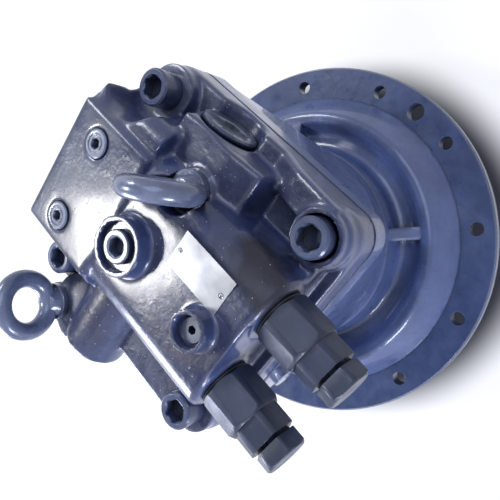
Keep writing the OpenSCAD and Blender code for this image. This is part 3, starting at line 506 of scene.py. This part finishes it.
@dataclass(frozen=True)
class Nitrile:
    """Moulded nitrile rubber: black, matte, with a faint bloom."""

    name: str = "nitrile rubber"

    def material(self) -> bpy.types.Material:
        """Builds the finish.

        Returns:
            The node material.
        """
        material, tree = blank_material(self.name)
        place = millimetres(tree)
        bloom = patches(tree, place, 8.0, low=0.45, high=0.75)
        grain = add(tree, "ShaderNodeTexNoise", {
            "Vector": place, "Scale": 1.0 / 0.6, "Detail": 2.0, "Roughness": NOISE_ROUGHNESS})
        matte = add(tree, "ShaderNodeBump", {
            "Strength": 0.3, "Distance": 0.04 * MM, "Height": grain.outputs["Fac"]})
        surface = add(tree, "ShaderNodeBsdfPrincipled", {
            "Base Color": layer(tree, "#1b1c1f", "#2f3136", bloom), "Roughness": 0.62,
            "IOR": 1.52, "Normal": matte.outputs["Normal"]})
        add(tree, "ShaderNodeOutputMaterial", {"Surface": surface.outputs["BSDF"]})
        return material


@dataclass(frozen=True)
class PaintPellets:
    """Dried paint pellets and dust grains that stand on the enamel."""

    name: str = "dried paint pellets"

    def material(self) -> bpy.types.Material:
        """Builds the finish.

        Returns:
            The node material.
        """
        material, tree = blank_material(self.name)
        tint = add(tree, "ShaderNodeTexNoise", {
            "Vector": millimetres(tree), "Scale": 1.0 / 5.0, "Detail": 2.0,
            "Roughness": NOISE_ROUGHNESS}).outputs["Fac"]
        surface = add(tree, "ShaderNodeBsdfPrincipled", {
            "Base Color": layer(tree, "#c9ced6", "#8d94a2", tint), "Roughness": 0.45})
        add(tree, "ShaderNodeOutputMaterial", {"Surface": surface.outputs["BSDF"]})
        return material


@dataclass
class FinishBook:
    """One material for each finish, made once."""

    made: dict[str, bpy.types.Material] = field(default_factory=dict)

    def get(self, finish: Enamel | Metal | Nitrile | PaintPellets) -> bpy.types.Material:
        """Gives the material of a finish, built at its first use.

        Args:
            finish: Finish that is wanted.

        Returns:
            Its node material.
        """
        if finish.name not in self.made:
            self.made[finish.name] = finish.material()
        return self.made[finish.name]


# Sprayed over a rough casting: blue-grey gloss, its highlights broken by the grain.
# Its faces that look up and its flange are painted darker, as painted shade.
CASING_ENAMEL = Enamel(
    "blue-grey enamel on sand-cast iron", base="#586893", deep="#4a5a84", pale="#313d59",
    pale_amount=0.75, roughness=0.32, skin_pitch_mm=2.6, coat=0.7, lump_mm=0.25,
    fillet_mm=7.0, flange_shade=0.5)
# The same paint, rubbed and oily: a darker blue with scratches and glare, painted shade on
# its level faces and beside the nameplate, and a painted sheen on its port pads.
TOP_ENAMEL = Enamel(
    "rubbed blue-grey enamel on the valve casing", base="#3f4d78", deep="#2f3b60",
    pale="#55586a", pale_amount=0.3, roughness=0.34, skin_mm=0.2, skin_pitch_mm=2.6,
    edge_mm=1.2, coat=0.55, coat_roughness=0.15, lump_mm=0.6, scratch=0.3, recess_dark=0.15,
    oil_film=0.4, level_shade=0.8, slope_shade_strip=True, pad_sheen=0.2, recess_shade="#141928")
# On machined screws: smooth and glossy, with dark sockets.
BOLT_ENAMEL = Enamel(
    "blue-grey enamel on hexagon socket screws", base="#434f6e", deep="#333d58",
    pale="#6b7283", pale_amount=0.3, roughness=0.28, skin_mm=0.03, skin_pitch_mm=1.2,
    edge_mm=0.8, recess_dark=0.36)
# Worn thin on the plugs: greyer and paler than the castings.
PLUG_ENAMEL = Enamel(
    "greyed enamel on screw plugs", base="#69738a", deep="#525b70", pale="#a4a9b3",
    pale_amount=0.6, skin_mm=0.03, skin_pitch_mm=1.2, edge_mm=0.6, recess_dark=0.36,
    recess_shade="#1a2036")
# On forged rings: pale and glossy, with slow waves in the highlights.
EYE_ENAMEL = Enamel(
    "thin enamel on drop-forged steel", base="#677089", deep="#525b74", pale="#959bac",
    pale_amount=0.35, roughness=0.24, skin_mm=0.07, skin_pitch_mm=3.0, edge_mm=1.2,
    coat=0.6, coat_roughness=0.07, lump_mm=0.5)
# Dulled by oil on the relief valves: nearly black, with little shine.
VALVE_ENAMEL = Enamel(
    "dark enamel on relief valve hexagons", base="#2b3348", deep="#212738", pale="#474e60",
    pale_amount=0.25, roughness=0.42, skin_mm=0.03, skin_pitch_mm=1.4, edge_mm=0.9,
    coat=0.12, coat_roughness=0.2)
# Turned, then hardened: mid-grey with tool lines across the highlights.
HARD_STEEL = Metal("hardened steel, turned", "#9a9da3", "#7c7f86", 0.32, 0.5)
# Ground races and rollers: the brightest and sharpest metal.
GROUND_STEEL = Metal("bearing steel, ground", "#c2c4c8", "#a6a9ae", 0.18, 0.3, 0.2)
# Drawn wire, tempered in oil: dark and half dull.
SPRING_STEEL = Metal("spring steel, oil tempered", "#5b5e64", "#3f4247", 0.38, 0.6, 0.2)
# Turned bronze: a warm yellow-brown shine.
BRONZE = Metal("bearing bronze, turned", "#b58b4e", "#94703c", 0.3, 0.5)
# Pressed from powder: brown, with hardly any shine.
SINTERED = Metal("sintered bronze lining", "#8f7448", "#6d5836", 0.55, 0.8)
# Anodised sheet: pale grey with a broad, soft shine.
PLATE = Metal("anodised aluminium plate", "#a2a4a9", "#85888e", 0.5, 0.35, 0.2)
RUBBER = Nitrile()
PELLETS = PaintPellets()

FINISH_OF_SLOT: dict[Slot, Enamel | Metal | Nitrile] = {
    Slot.ENAMEL: BOLT_ENAMEL,
    Slot.ENAMEL_PALE: PLUG_ENAMEL,
    Slot.ENAMEL_DARK: VALVE_ENAMEL,
    Slot.NITRILE: RUBBER,
    Slot.HARD_STEEL: HARD_STEEL,
    Slot.GROUND_STEEL: GROUND_STEEL,
    Slot.SPRING_STEEL: SPRING_STEEL,
    Slot.PLATE: PLATE,
    Slot.BRONZE: BRONZE,
    Slot.SINTERED: SINTERED,
}


def link(piece: bpy.types.Object) -> bpy.types.Object:
    """Puts a piece into the scene."""
    bpy.context.scene.collection.objects.link(piece)
    return piece


def settle(piece: bpy.types.Object) -> None:
    """Turns a piece with live modifiers into the plain mesh that they give.

    Args:
        piece: Piece that is changed.
    """
    bpy.context.view_layer.update()
    graph = bpy.context.evaluated_depsgraph_get()
    result = bpy.data.meshes.new_from_object(piece.evaluated_get(graph))
    piece.modifiers.clear()
    piece.data = result


def welded_copy(node: str, name: str) -> bpy.types.Object:
    """Copies a CAD node with its loose triangles merged.

    Args:
        node: CAD node to copy.
        name: Name of the new piece.

    Returns:
        The new piece, at the node's place.
    """
    mesh = frame["nodes"][node].data.copy()
    mesh.materials.clear()
    work = bmesh.new()
    work.from_mesh(mesh)
    bmesh.ops.remove_doubles(work, verts=work.verts, dist=0.002 * MM)
    work.to_mesh(mesh)
    work.free()
    mesh.name = name
    return link(bpy.data.objects.new(name, mesh))


def disc(name: str, segments: int, radius: float, place: Matrix,
         material: bpy.types.Material) -> bpy.types.Object:
    """Makes a flat round piece of the studio.

    Args:
        name: Name of the piece.
        segments: Number of sides.
        radius: Radius in metres.
        place: Where it goes, from lying at the origin.
        material: Its material.

    Returns:
        The new piece, staged.
    """
    work = bmesh.new()
    bmesh.ops.create_circle(work, cap_ends=True, segments=segments, radius=radius)
    mesh = bpy.data.meshes.new(name)
    work.to_mesh(mesh)
    work.free()
    mesh.transform(place)
    mesh.materials.append(material)
    piece = link(bpy.data.objects.new(name, mesh))
    return piece


def shade_by_angle(mesh: bpy.types.Mesh, degrees: float) -> None:
    """Shades a mesh smooth, with an edge where faces meet at more than the angle."""
    mesh.shade_smooth()
    mesh.set_sharp_from_angle(angle=math.radians(degrees))


def crease_flats(mesh: bpy.types.Mesh, least_mm2: float = 150.0) -> None:
    """Puts an edge round every large level face, so that no rounding shades into it.

    Args:
        mesh: Mesh that is changed.
        least_mm2: Smallest area that counts as a face.
    """
    work = bmesh.new()
    work.from_mesh(mesh)
    level = {face for face in work.faces if abs(face.normal.z) > 0.99995}
    while level:
        region = {level.pop()}
        front = list(region)
        while front:
            for edge in front.pop().edges:
                near = [face for face in edge.link_faces if face in level]
                level.difference_update(near)
                region.update(near)
                front.extend(near)
        if sum(face.calc_area() for face in region) < least_mm2 * MM * MM:
            continue
        for edge in {edge for face in region for edge in face.edges}:
            if any(face not in region for face in edge.link_faces):
                edge.smooth = False
    work.to_mesh(mesh)
    work.free()


def vertex_mm(mesh: bpy.types.Mesh) -> np.ndarray:
    """Reads the places of all vertices.

    Args:
        mesh: Mesh that is read.

    Returns:
        One row for each vertex, in millimetres.
    """
    points = np.empty(len(mesh.vertices) * 3, np.float32)
    mesh.vertices.foreach_get("co", points)
    return points.reshape(-1, 3) * MM_PER_M


@dataclass(frozen=True)
class Zone:
    """Round area: a cylinder along one axis, in millimetres."""

    axis: Axis
    centre: tuple[float, float]
    radius: float
    low: float
    high: float

    def holds(self, points: np.ndarray) -> np.ndarray:
        """Tells which points lie in the zone.

        Args:
            points: One row for each point, in millimetres.

        Returns:
            True or False for each point.
        """
        first, second = (points[:, axis] for axis in Axis if axis != self.axis)
        away = np.hypot(first - self.centre[0], second - self.centre[1])
        along = points[:, self.axis]
        return (away < self.radius) & (along > self.low) & (along < self.high)


def smooth(piece: bpy.types.Object, passes: int, group: str = "") -> None:
    """Adds a live smoothing.

    Args:
        piece: Piece that gets it.
        passes: How often it is repeated.
        group: Group of vertices that it is held to, or none.
    """
    live = piece.modifiers.new("smooth", "SMOOTH")
    live.factor = 0.5
    live.iterations = passes
    live.vertex_group = group


@dataclass
class ValveCasing:
    """Ported valve casing: a cast skin with soft edges round crisp machined faces."""

    book: FinishBook
    voxel_mm: float = 1.7
    quick_voxel_mm: float = 3.0
    soft_passes: int = 16
    crisp_passes: int = 2
    blunt_passes: int = 90
    joint_softness: float = 0.12
    joint_edge_z: float = 223.5
    bolt_xy: float = 90.5
    boss_x: tuple[float, float] = (-8.8, 77.6)
    boss_y: float = -3.5
    gauge_x: float = -84.0
    passage_y: float = 36.0
    passage_z: float = 280.0
    relief_y: float = 35.6
    check_xz: tuple[float, float] = (-24.0, 256.0)
    high_eye_xy: tuple[float, float] = (-1.0, 55.5)
    low_eye_xy: tuple[float, float] = (-76.0, -134.0)
    blunt_corner: Zone = Zone(Axis.Z, (-105.0, 78.0), 20.0, 272.0, 316.0)
    pellet_count: int = 420
    pellet_mm: float = 0.42
    pellet_area_m2: float = 0.055

    def machined(self) -> list[Zone]:
        """Lists the machined areas, which keep their edges.

        Returns:
            Zones of the bolt seats, bosses, gauge seats, main ports, relief valve faces,
            check valve faces and eye seats.
        """
        sides = (-1, 1)
        zones = [Zone(Axis.Z, (x * self.bolt_xy, y * self.bolt_xy), 24.5, 256.0, 300.0)
                 for x in sides for y in sides]
        zones += [Zone(Axis.Z, (x, self.boss_y), 31.0, 308.0, 330.0) for x in self.boss_x]
        for side in sides:
            zones += [
                Zone(Axis.Z, (self.gauge_x, side * self.passage_y), 15.0, 300.0, 315.0),
                Zone(Axis.X, (side * self.passage_y, self.passage_z), 18.0, -122.0, -90.0),
                Zone(Axis.X, (side * self.relief_y, self.passage_z), 27.0, 100.0, 112.0)]
        zones += [Zone(Axis.Y, self.check_xz, 23.0, low, low + 12.0) for low in (92.0, -142.0)]
        zones += [Zone(Axis.Z, self.high_eye_xy, 19.5, 262.0, 312.0),
                  Zone(Axis.Z, self.low_eye_xy, 19.0, 244.0, 270.0)]
        return zones

    def cast_weights(self, mesh: bpy.types.Mesh) -> np.ndarray:
        """How far each vertex may be softened.

        Args:
            mesh: Remeshed skin.

        Returns:
            One weight for each vertex, 0 on machined faces and 1 on cast ones.
        """
        points = vertex_mm(mesh)
        weight = np.ones(len(points), np.float32)
        for zone in self.machined():
            weight[zone.holds(points)] = 0.0
        weight[points[:, Axis.Z] < self.joint_edge_z] = self.joint_softness
        return weight

    def skin(self) -> bpy.types.Object:
        """Builds the cast skin that stands for the CAD node.

        Returns:
            The new piece.
        """
        piece = welded_copy("valve_casing", "valve_casing_skin")
        remesh = piece.modifiers.new("skin", "REMESH")
        remesh.mode = "VOXEL"
        remesh.voxel_size = self.voxel_mm * MM
        settle(piece)
        cast = piece.vertex_groups.new(name="cast")
        weights = self.cast_weights(piece.data)
        for level in np.unique(weights):
            if level > 0:
                cast.add(np.nonzero(weights == level)[0].tolist(), float(level), "REPLACE")
        smooth(piece, self.crisp_passes)
        smooth(piece, self.soft_passes, "cast")
        settle(piece)
        # The real casting has the outer corner of its port pad well rounded.
        blunt = piece.vertex_groups.new(name="blunt")
        corner = self.blunt_corner.holds(vertex_mm(piece.data))
        blunt.add(np.nonzero(corner)[0].tolist(), 1.0, "REPLACE")
        smooth(piece, self.blunt_passes, "blunt")
        settle(piece)
        piece.vertex_groups.clear()
        shade_by_angle(piece.data, 40.0)
        piece.data.materials.append(self.book.get(TOP_ENAMEL))
        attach(piece, Body.CASING.value)
        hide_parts("valve_casing")
        return piece

    def pellet_tree(self) -> bpy.types.GeometryNodeTree:
        """Builds the nodes that scatter grains over the faces that look up.

        Returns:
            The tree, with inputs for surface, density, radius and seed.
        """
        tree = bpy.data.node_groups.new("paint pellets", "GeometryNodeTree")
        for label, kind in (("Surface", "NodeSocketGeometry"), ("Density", "NodeSocketFloat"),
                            ("Radius", "NodeSocketFloat"), ("Seed", "NodeSocketInt")):
            tree.interface.new_socket(label, in_out="INPUT", socket_type=kind)
        tree.interface.new_socket("Geometry", in_out="OUTPUT",
                                  socket_type="NodeSocketGeometry")
        given = add(tree, "NodeGroupInput").outputs
        normal = add(tree, "ShaderNodeSeparateXYZ", {
            0: add(tree, "GeometryNodeInputNormal").outputs[0]})
        up = add(tree, "FunctionNodeCompare", {0: normal.outputs["Z"], 1: 0.35},
                 data_type="FLOAT", operation="GREATER_THAN")
        points = add(tree, "GeometryNodeDistributePointsOnFaces", {
            "Mesh": given["Surface"], "Selection": up.outputs[0], "Density": given["Density"],
            "Seed": given["Seed"]}, distribute_method="RANDOM")
        grain = add(tree, "GeometryNodeMeshIcoSphere", {
            "Radius": given["Radius"], "Subdivisions": 1})
        size = add(tree, "FunctionNodeRandomValue", {2: 0.45, 3: 1.35, "Seed": given["Seed"]},
                   data_type="FLOAT")
        put = add(tree, "GeometryNodeInstanceOnPoints", {
            "Points": points.outputs["Points"], "Instance": grain.outputs["Mesh"],
            "Scale": size.outputs[1]})
        real = add(tree, "GeometryNodeRealizeInstances", {
            "Geometry": put.outputs["Instances"]})
        dressed = add(tree, "GeometryNodeSetMaterial", {
            "Geometry": real.outputs["Geometry"], "Material": self.book.get(PELLETS)})
        add(tree, "NodeGroupOutput", {0: dressed.outputs["Geometry"]})
        return tree

    def pellets(self, skin: bpy.types.Object) -> bpy.types.Object:
        """Scatters dried paint pellets over the skin.

        Args:
            skin: Cast skin that carries them.

        Returns:
            The pellets as one mesh.
        """
        tree = self.pellet_tree()
        piece = link(bpy.data.objects.new("paint_pellets", skin.data.copy()))
        live = piece.modifiers.new("pellets", "NODES")
        live.node_group = tree
        sizes = {"Density": self.pellet_count / self.pellet_area_m2,
                 "Radius": self.pellet_mm * MM, "Seed": 7}
        for item in tree.interface.items_tree:
            if item.in_out == "INPUT" and item.name in sizes:
                live[item.identifier] = sizes[item.name]
        settle(piece)
        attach(piece, Body.CASING.value)
        return piece

    def build(self) -> None:
        """Builds the skin and what lies on it."""
        skin = self.skin()
        log.info("valve casing skin: %d faces", len(skin.data.polygons))
        grains = self.pellets(skin)
        log.info("paint pellets: %d faces", len(grains.data.polygons))


@dataclass(frozen=True)
class SmoothPiece:
    """A CAD node carried over as a welded copy with smooth shading."""

    node: str
    finish: Enamel | Metal | Nitrile
    slot: Slot
    body: Body = Body.CASING
    angle: float = 32.0

    def build(self, book: FinishBook) -> bpy.types.Object:
        """Builds the copy that stands for the node.

        Args:
            book: Materials made so far.

        Returns:
            The new piece.
        """
        piece = welded_copy(self.node, self.node + "_dressed")
        shade_by_angle(piece.data, self.angle)
        crease_flats(piece.data)
        flat = piece.modifiers.new("flat faces", "WEIGHTED_NORMAL")
        flat.mode = "FACE_AREA"
        flat.weight = 90
        flat.keep_sharp = True
        settle(piece)
        piece.data.materials.append(book.get(self.finish))
        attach(piece, self.body.value)
        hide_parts(self.node)
        log.info("%s: %d triangles", piece.name, len(piece.data.polygons))
        return piece


OUTER_PIECES = (
    SmoothPiece("motor_casing", CASING_ENAMEL, Slot.ENAMEL),
    SmoothPiece("main_bolts", BOLT_ENAMEL, Slot.ENAMEL),
    SmoothPiece("check_plugs", BOLT_ENAMEL, Slot.ENAMEL),
    SmoothPiece("eye_bolts", EYE_ENAMEL, Slot.ENAMEL_PALE),
    SmoothPiece("socket_plugs", PLUG_ENAMEL, Slot.ENAMEL_PALE),
    SmoothPiece("makeup_port_plug", PLUG_ENAMEL, Slot.ENAMEL_PALE),
    SmoothPiece("bleed_plug", PLUG_ENAMEL, Slot.ENAMEL_PALE),
    SmoothPiece("relief_bodies", VALVE_ENAMEL, Slot.ENAMEL_DARK),
    SmoothPiece("relief_caps", VALVE_ENAMEL, Slot.ENAMEL_DARK),
    SmoothPiece("relief_seals", RUBBER, Slot.NITRILE),
    SmoothPiece("drive_shaft", HARD_STEEL, Slot.HARD_STEEL, Body.ROTOR),
    SmoothPiece("oil_seal", RUBBER, Slot.NITRILE),
)


@dataclass
class OuterFittings:
    """Motor casing and everything screwed to the outside."""

    book: FinishBook
    pieces: tuple[SmoothPiece, ...] = OUTER_PIECES

    def build(self) -> None:
        """Builds every outer piece."""
        for piece in self.pieces:
            piece.build(self.book)


@dataclass(frozen=True)
class Spring:
    """Coil spring between the casing and the moving piece that it pushes."""

    node: str
    pushes: str
    axis: Axis
    fixed_end: float

    def build(self, book: FinishBook) -> bpy.types.Object:
        """Builds a smooth-shaded copy of the spring and logs the ends that it lies between.

        Args:
            book: Materials made so far.

        Returns:
            The new piece.
        """
        low, high = (Vector(corner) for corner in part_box(self.node))
        start = (low + high) / 2
        end = start.copy()
        start[self.axis] = self.fixed_end
        ends = (low[self.axis], high[self.axis])
        end[self.axis] = max(ends, key=lambda place: abs(place - self.fixed_end))
        piece = welded_copy(self.node, self.node + "_dressed")
        shade_by_angle(piece.data, 60.0)
        piece.data.materials.append(book.get(SPRING_STEEL))
        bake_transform(piece)
        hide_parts(self.node)
        log.info("%s: shortens from %s to %s", piece.name, tuple(start), tuple(end))
        return piece


SPRINGS = (
    Spring("brake_springs", "brake", Axis.Z, 0.23),
    Spring("relief_spring_a", "relief_a", Axis.X, 0.143),
    Spring("relief_spring_b", "relief_b", Axis.X, 0.143),
    Spring("check_spring_a", "check_a", Axis.Y, 0.091),
    Spring("check_spring_b", "check_b", Axis.Y, -0.129),
)


@dataclass
class InnerWorks:
    """Springs, and CAD nodes that keep their mesh and get their slot's finish."""

    book: FinishBook
    springs: tuple[Spring, ...] = SPRINGS

    def build(self, done: set[str]) -> None:
        """Builds the springs and gives each remaining node its finish.

        Args:
            done: Nodes that another piece stands for.
        """
        for spring in self.springs:
            spring.build(self.book)
        done = done | {spring.node for spring in self.springs}
        for part in frame["record"]["subparts"]:
            node = part["node"]
            if node in done:
                continue
            finish = FINISH_OF_SLOT[Slot(part["material_slot"])]
            holder = frame["nodes"][node]
            holder.data.materials.clear()
            holder.data.materials.append(self.book.get(finish))
            log.info("%s: %s", node, finish.name)


@dataclass(frozen=True)
class Lamp:
    """One soft square lamp: place, aim and side in metres, power in watts, sRGB tint."""

    name: str
    at: Point
    aim: Point
    watts: float
    side: float
    tint: str

    def hang(self) -> None:
        """Puts the lamp into the scene."""
        data = bpy.data.lights.new(self.name, "AREA")
        data.energy = self.watts
        data.size = self.side
        data.color = linear(self.tint)[:3]
        holder = link(bpy.data.objects.new(self.name, data))
        holder.location = self.at
        beam = Vector(self.aim) - Vector(self.at)
        holder.rotation_euler = beam.to_track_quat("-Z", "Y").to_euler()


LAMPS = (
    Lamp("key lamp", (-1.05, 0.3, 1.15), (0.0, 0.0, 0.2), 9.0, 0.4, "#f2f4ff"),
    Lamp("glare lamp", (-0.65, -0.6, 1.17), (-0.02, 0.0, 0.3), 9.0, 0.27, "#ffffff"),
    Lamp("front lamp", (-0.25, -1.15, 0.45), (0.0, -0.05, 0.18), 12.0, 0.5, "#e2e8ff"),
    Lamp("right lamp", (1.0, -0.35, 0.5), (0.1, 0.0, 0.1), 10.0, 0.32, "#dfe6ff"),
    Lamp("sky lamp", (0.1, 0.75, 1.35), (0.0, 0.0, 0.2), 7.0, 0.9, "#cdd9ff"),
)


@dataclass
class Studio:
    """Pale floor, soft lamps, pale surroundings and the camera."""

    floor_z: float = -0.0958
    floor_radius: float = 6.0
    floor_glow: float = 0.68
    shade_from: float = 0.188
    shade_to: float = 0.245
    ambient: float = 0.22
    card_towards: Point = (-0.45, -0.4, 0.8)
    card_distance: float = 2.4
    card_radius: float = 1.9
    camera_at: Point = (0.2152730, 0.2084776, 0.6158892)
    right: Point = (0.6389332, 0.5430939, -0.5448058)
    up: Point = (-0.6657883, 0.7451731, -0.0379865)
    back: Point = (0.3853444, 0.3869961, 0.8377014)
    focal_px: float = 565.0
    frame_px: float = 500.0

    def floor(self) -> None:
        """Lays the pale floor: white to the eye, with a painted shadow under the flange."""
        material, tree = blank_material("pale studio floor")
        away = add(tree, "ShaderNodeVectorMath", {
            0: add(tree, "ShaderNodeTexCoord").outputs["Object"], 1: (0.0, 0.0, self.floor_z)},
            operation="DISTANCE").outputs["Value"]
        clear = add(tree, "ShaderNodeMapRange", {
            "Value": away, "From Min": self.shade_from, "From Max": self.shade_to},
            interpolation_type="SMOOTHSTEP").outputs["Result"]
        # Under the flange the floor is painted dark and loses its glow: a painted shadow.
        surface = add(tree, "ShaderNodeBsdfPrincipled", {
            "Base Color": layer(tree, "#46474b", "#9c9c9f", clear),
            "Roughness": 0.9, "Specular IOR Level": 0.0})
        strength = self.seen(tree)
        for factor in (clear, self.floor_glow):
            strength = add(tree, "ShaderNodeMath", {0: strength, 1: factor},
                           operation="MULTIPLY").outputs[0]
        glow = add(tree, "ShaderNodeEmission", {"Strength": strength})
        both = add(tree, "ShaderNodeAddShader", {
            0: surface.outputs["BSDF"], 1: glow.outputs["Emission"]})
        add(tree, "ShaderNodeOutputMaterial", {"Surface": both.outputs["Shader"]})
        disc("floor", 96, self.floor_radius, Matrix.Translation((0.0, 0.0, self.floor_z)),
             material)

    @staticmethod
    def seen(tree: Tree) -> Socket:
        """Picks out the rays that show a thing, not those that light by it.

        Args:
            tree: Node tree of the floor or the world.

        Returns:
            1 for rays of the camera, of reflections and through glass, otherwise 0.
        """
        ray = add(tree, "ShaderNodeLightPath").outputs
        shows = ray["Is Camera Ray"]
        for kind in ("Is Glossy Ray", "Is Transmission Ray"):
            shows = add(tree, "ShaderNodeMath", {0: shows, 1: ray[kind]},
                        operation="MAXIMUM").outputs[0]
        return shows

    def card(self) -> None:
        """Hangs a dark card behind the glare lamp, which only shiny surfaces see."""
        towards = Vector(self.card_towards).normalized()
        turn = towards.to_track_quat("Z", "Y").to_matrix().to_4x4()
        material, tree = blank_material("black studio cloth")
        surface = add(tree, "ShaderNodeBsdfPrincipled", {
            "Base Color": linear("#3a3d45"), "Roughness": 0.95})
        add(tree, "ShaderNodeOutputMaterial", {"Surface": surface.outputs["BSDF"]})
        piece = disc("dark_card", 48, self.card_radius,
                     Matrix.Translation(towards * self.card_distance) @ turn, material)
        piece.visible_camera = False
        piece.visible_diffuse = False
        piece.visible_shadow = False

    def surroundings(self) -> None:
        """Pale world: bright to the camera and in reflections, plain as ambient light."""
        world = bpy.data.worlds.new("pale room")
        bpy.context.scene.world = world
        world.use_nodes = True
        tree = world.node_tree
        tree.nodes.clear()
        strength = add(tree, "ShaderNodeMapRange", {
            "Value": self.seen(tree), "To Min": self.ambient})
        shell = add(tree, "ShaderNodeBackground", {
            "Color": linear("#eef0f5"), "Strength": strength.outputs["Result"]})
        add(tree, "ShaderNodeOutputWorld", {"Surface": shell.outputs[0]})

    def camera(self) -> None:
        """Sets the camera to the photograph's place and field of view."""
        data = bpy.data.cameras.new("camera")
        data.sensor_fit = "HORIZONTAL"
        data.sensor_width = 36.0
        data.lens = self.focal_px / self.frame_px * data.sensor_width
        holder = link(bpy.data.objects.new("camera", data))
        turn = Matrix((self.right, self.up, self.back)).transposed().to_4x4()
        holder.matrix_world = Matrix.Translation(self.camera_at) @ turn
        bpy.context.scene.camera = holder

    def build(self) -> None:
        """Sets up everything round the motor."""
        bpy.context.scene.view_settings.view_transform = "Standard"
        self.floor()
        self.surroundings()
        self.card()
        for lamp in LAMPS:
            lamp.hang()
        self.camera()
        log.info("studio and camera are set")


def main() -> None:
    """Builds the dressed motor and its studio."""
    logging.basicConfig(level=logging.INFO, format="%(message)s")
    book = FinishBook()
    Studio().build()
    ValveCasing(book).build()
    fittings = OuterFittings(book)
    fittings.build()
    InnerWorks(book).build({"valve_casing"} | {piece.node for piece in fittings.pieces})


if __name__ == "__main__":
    main()
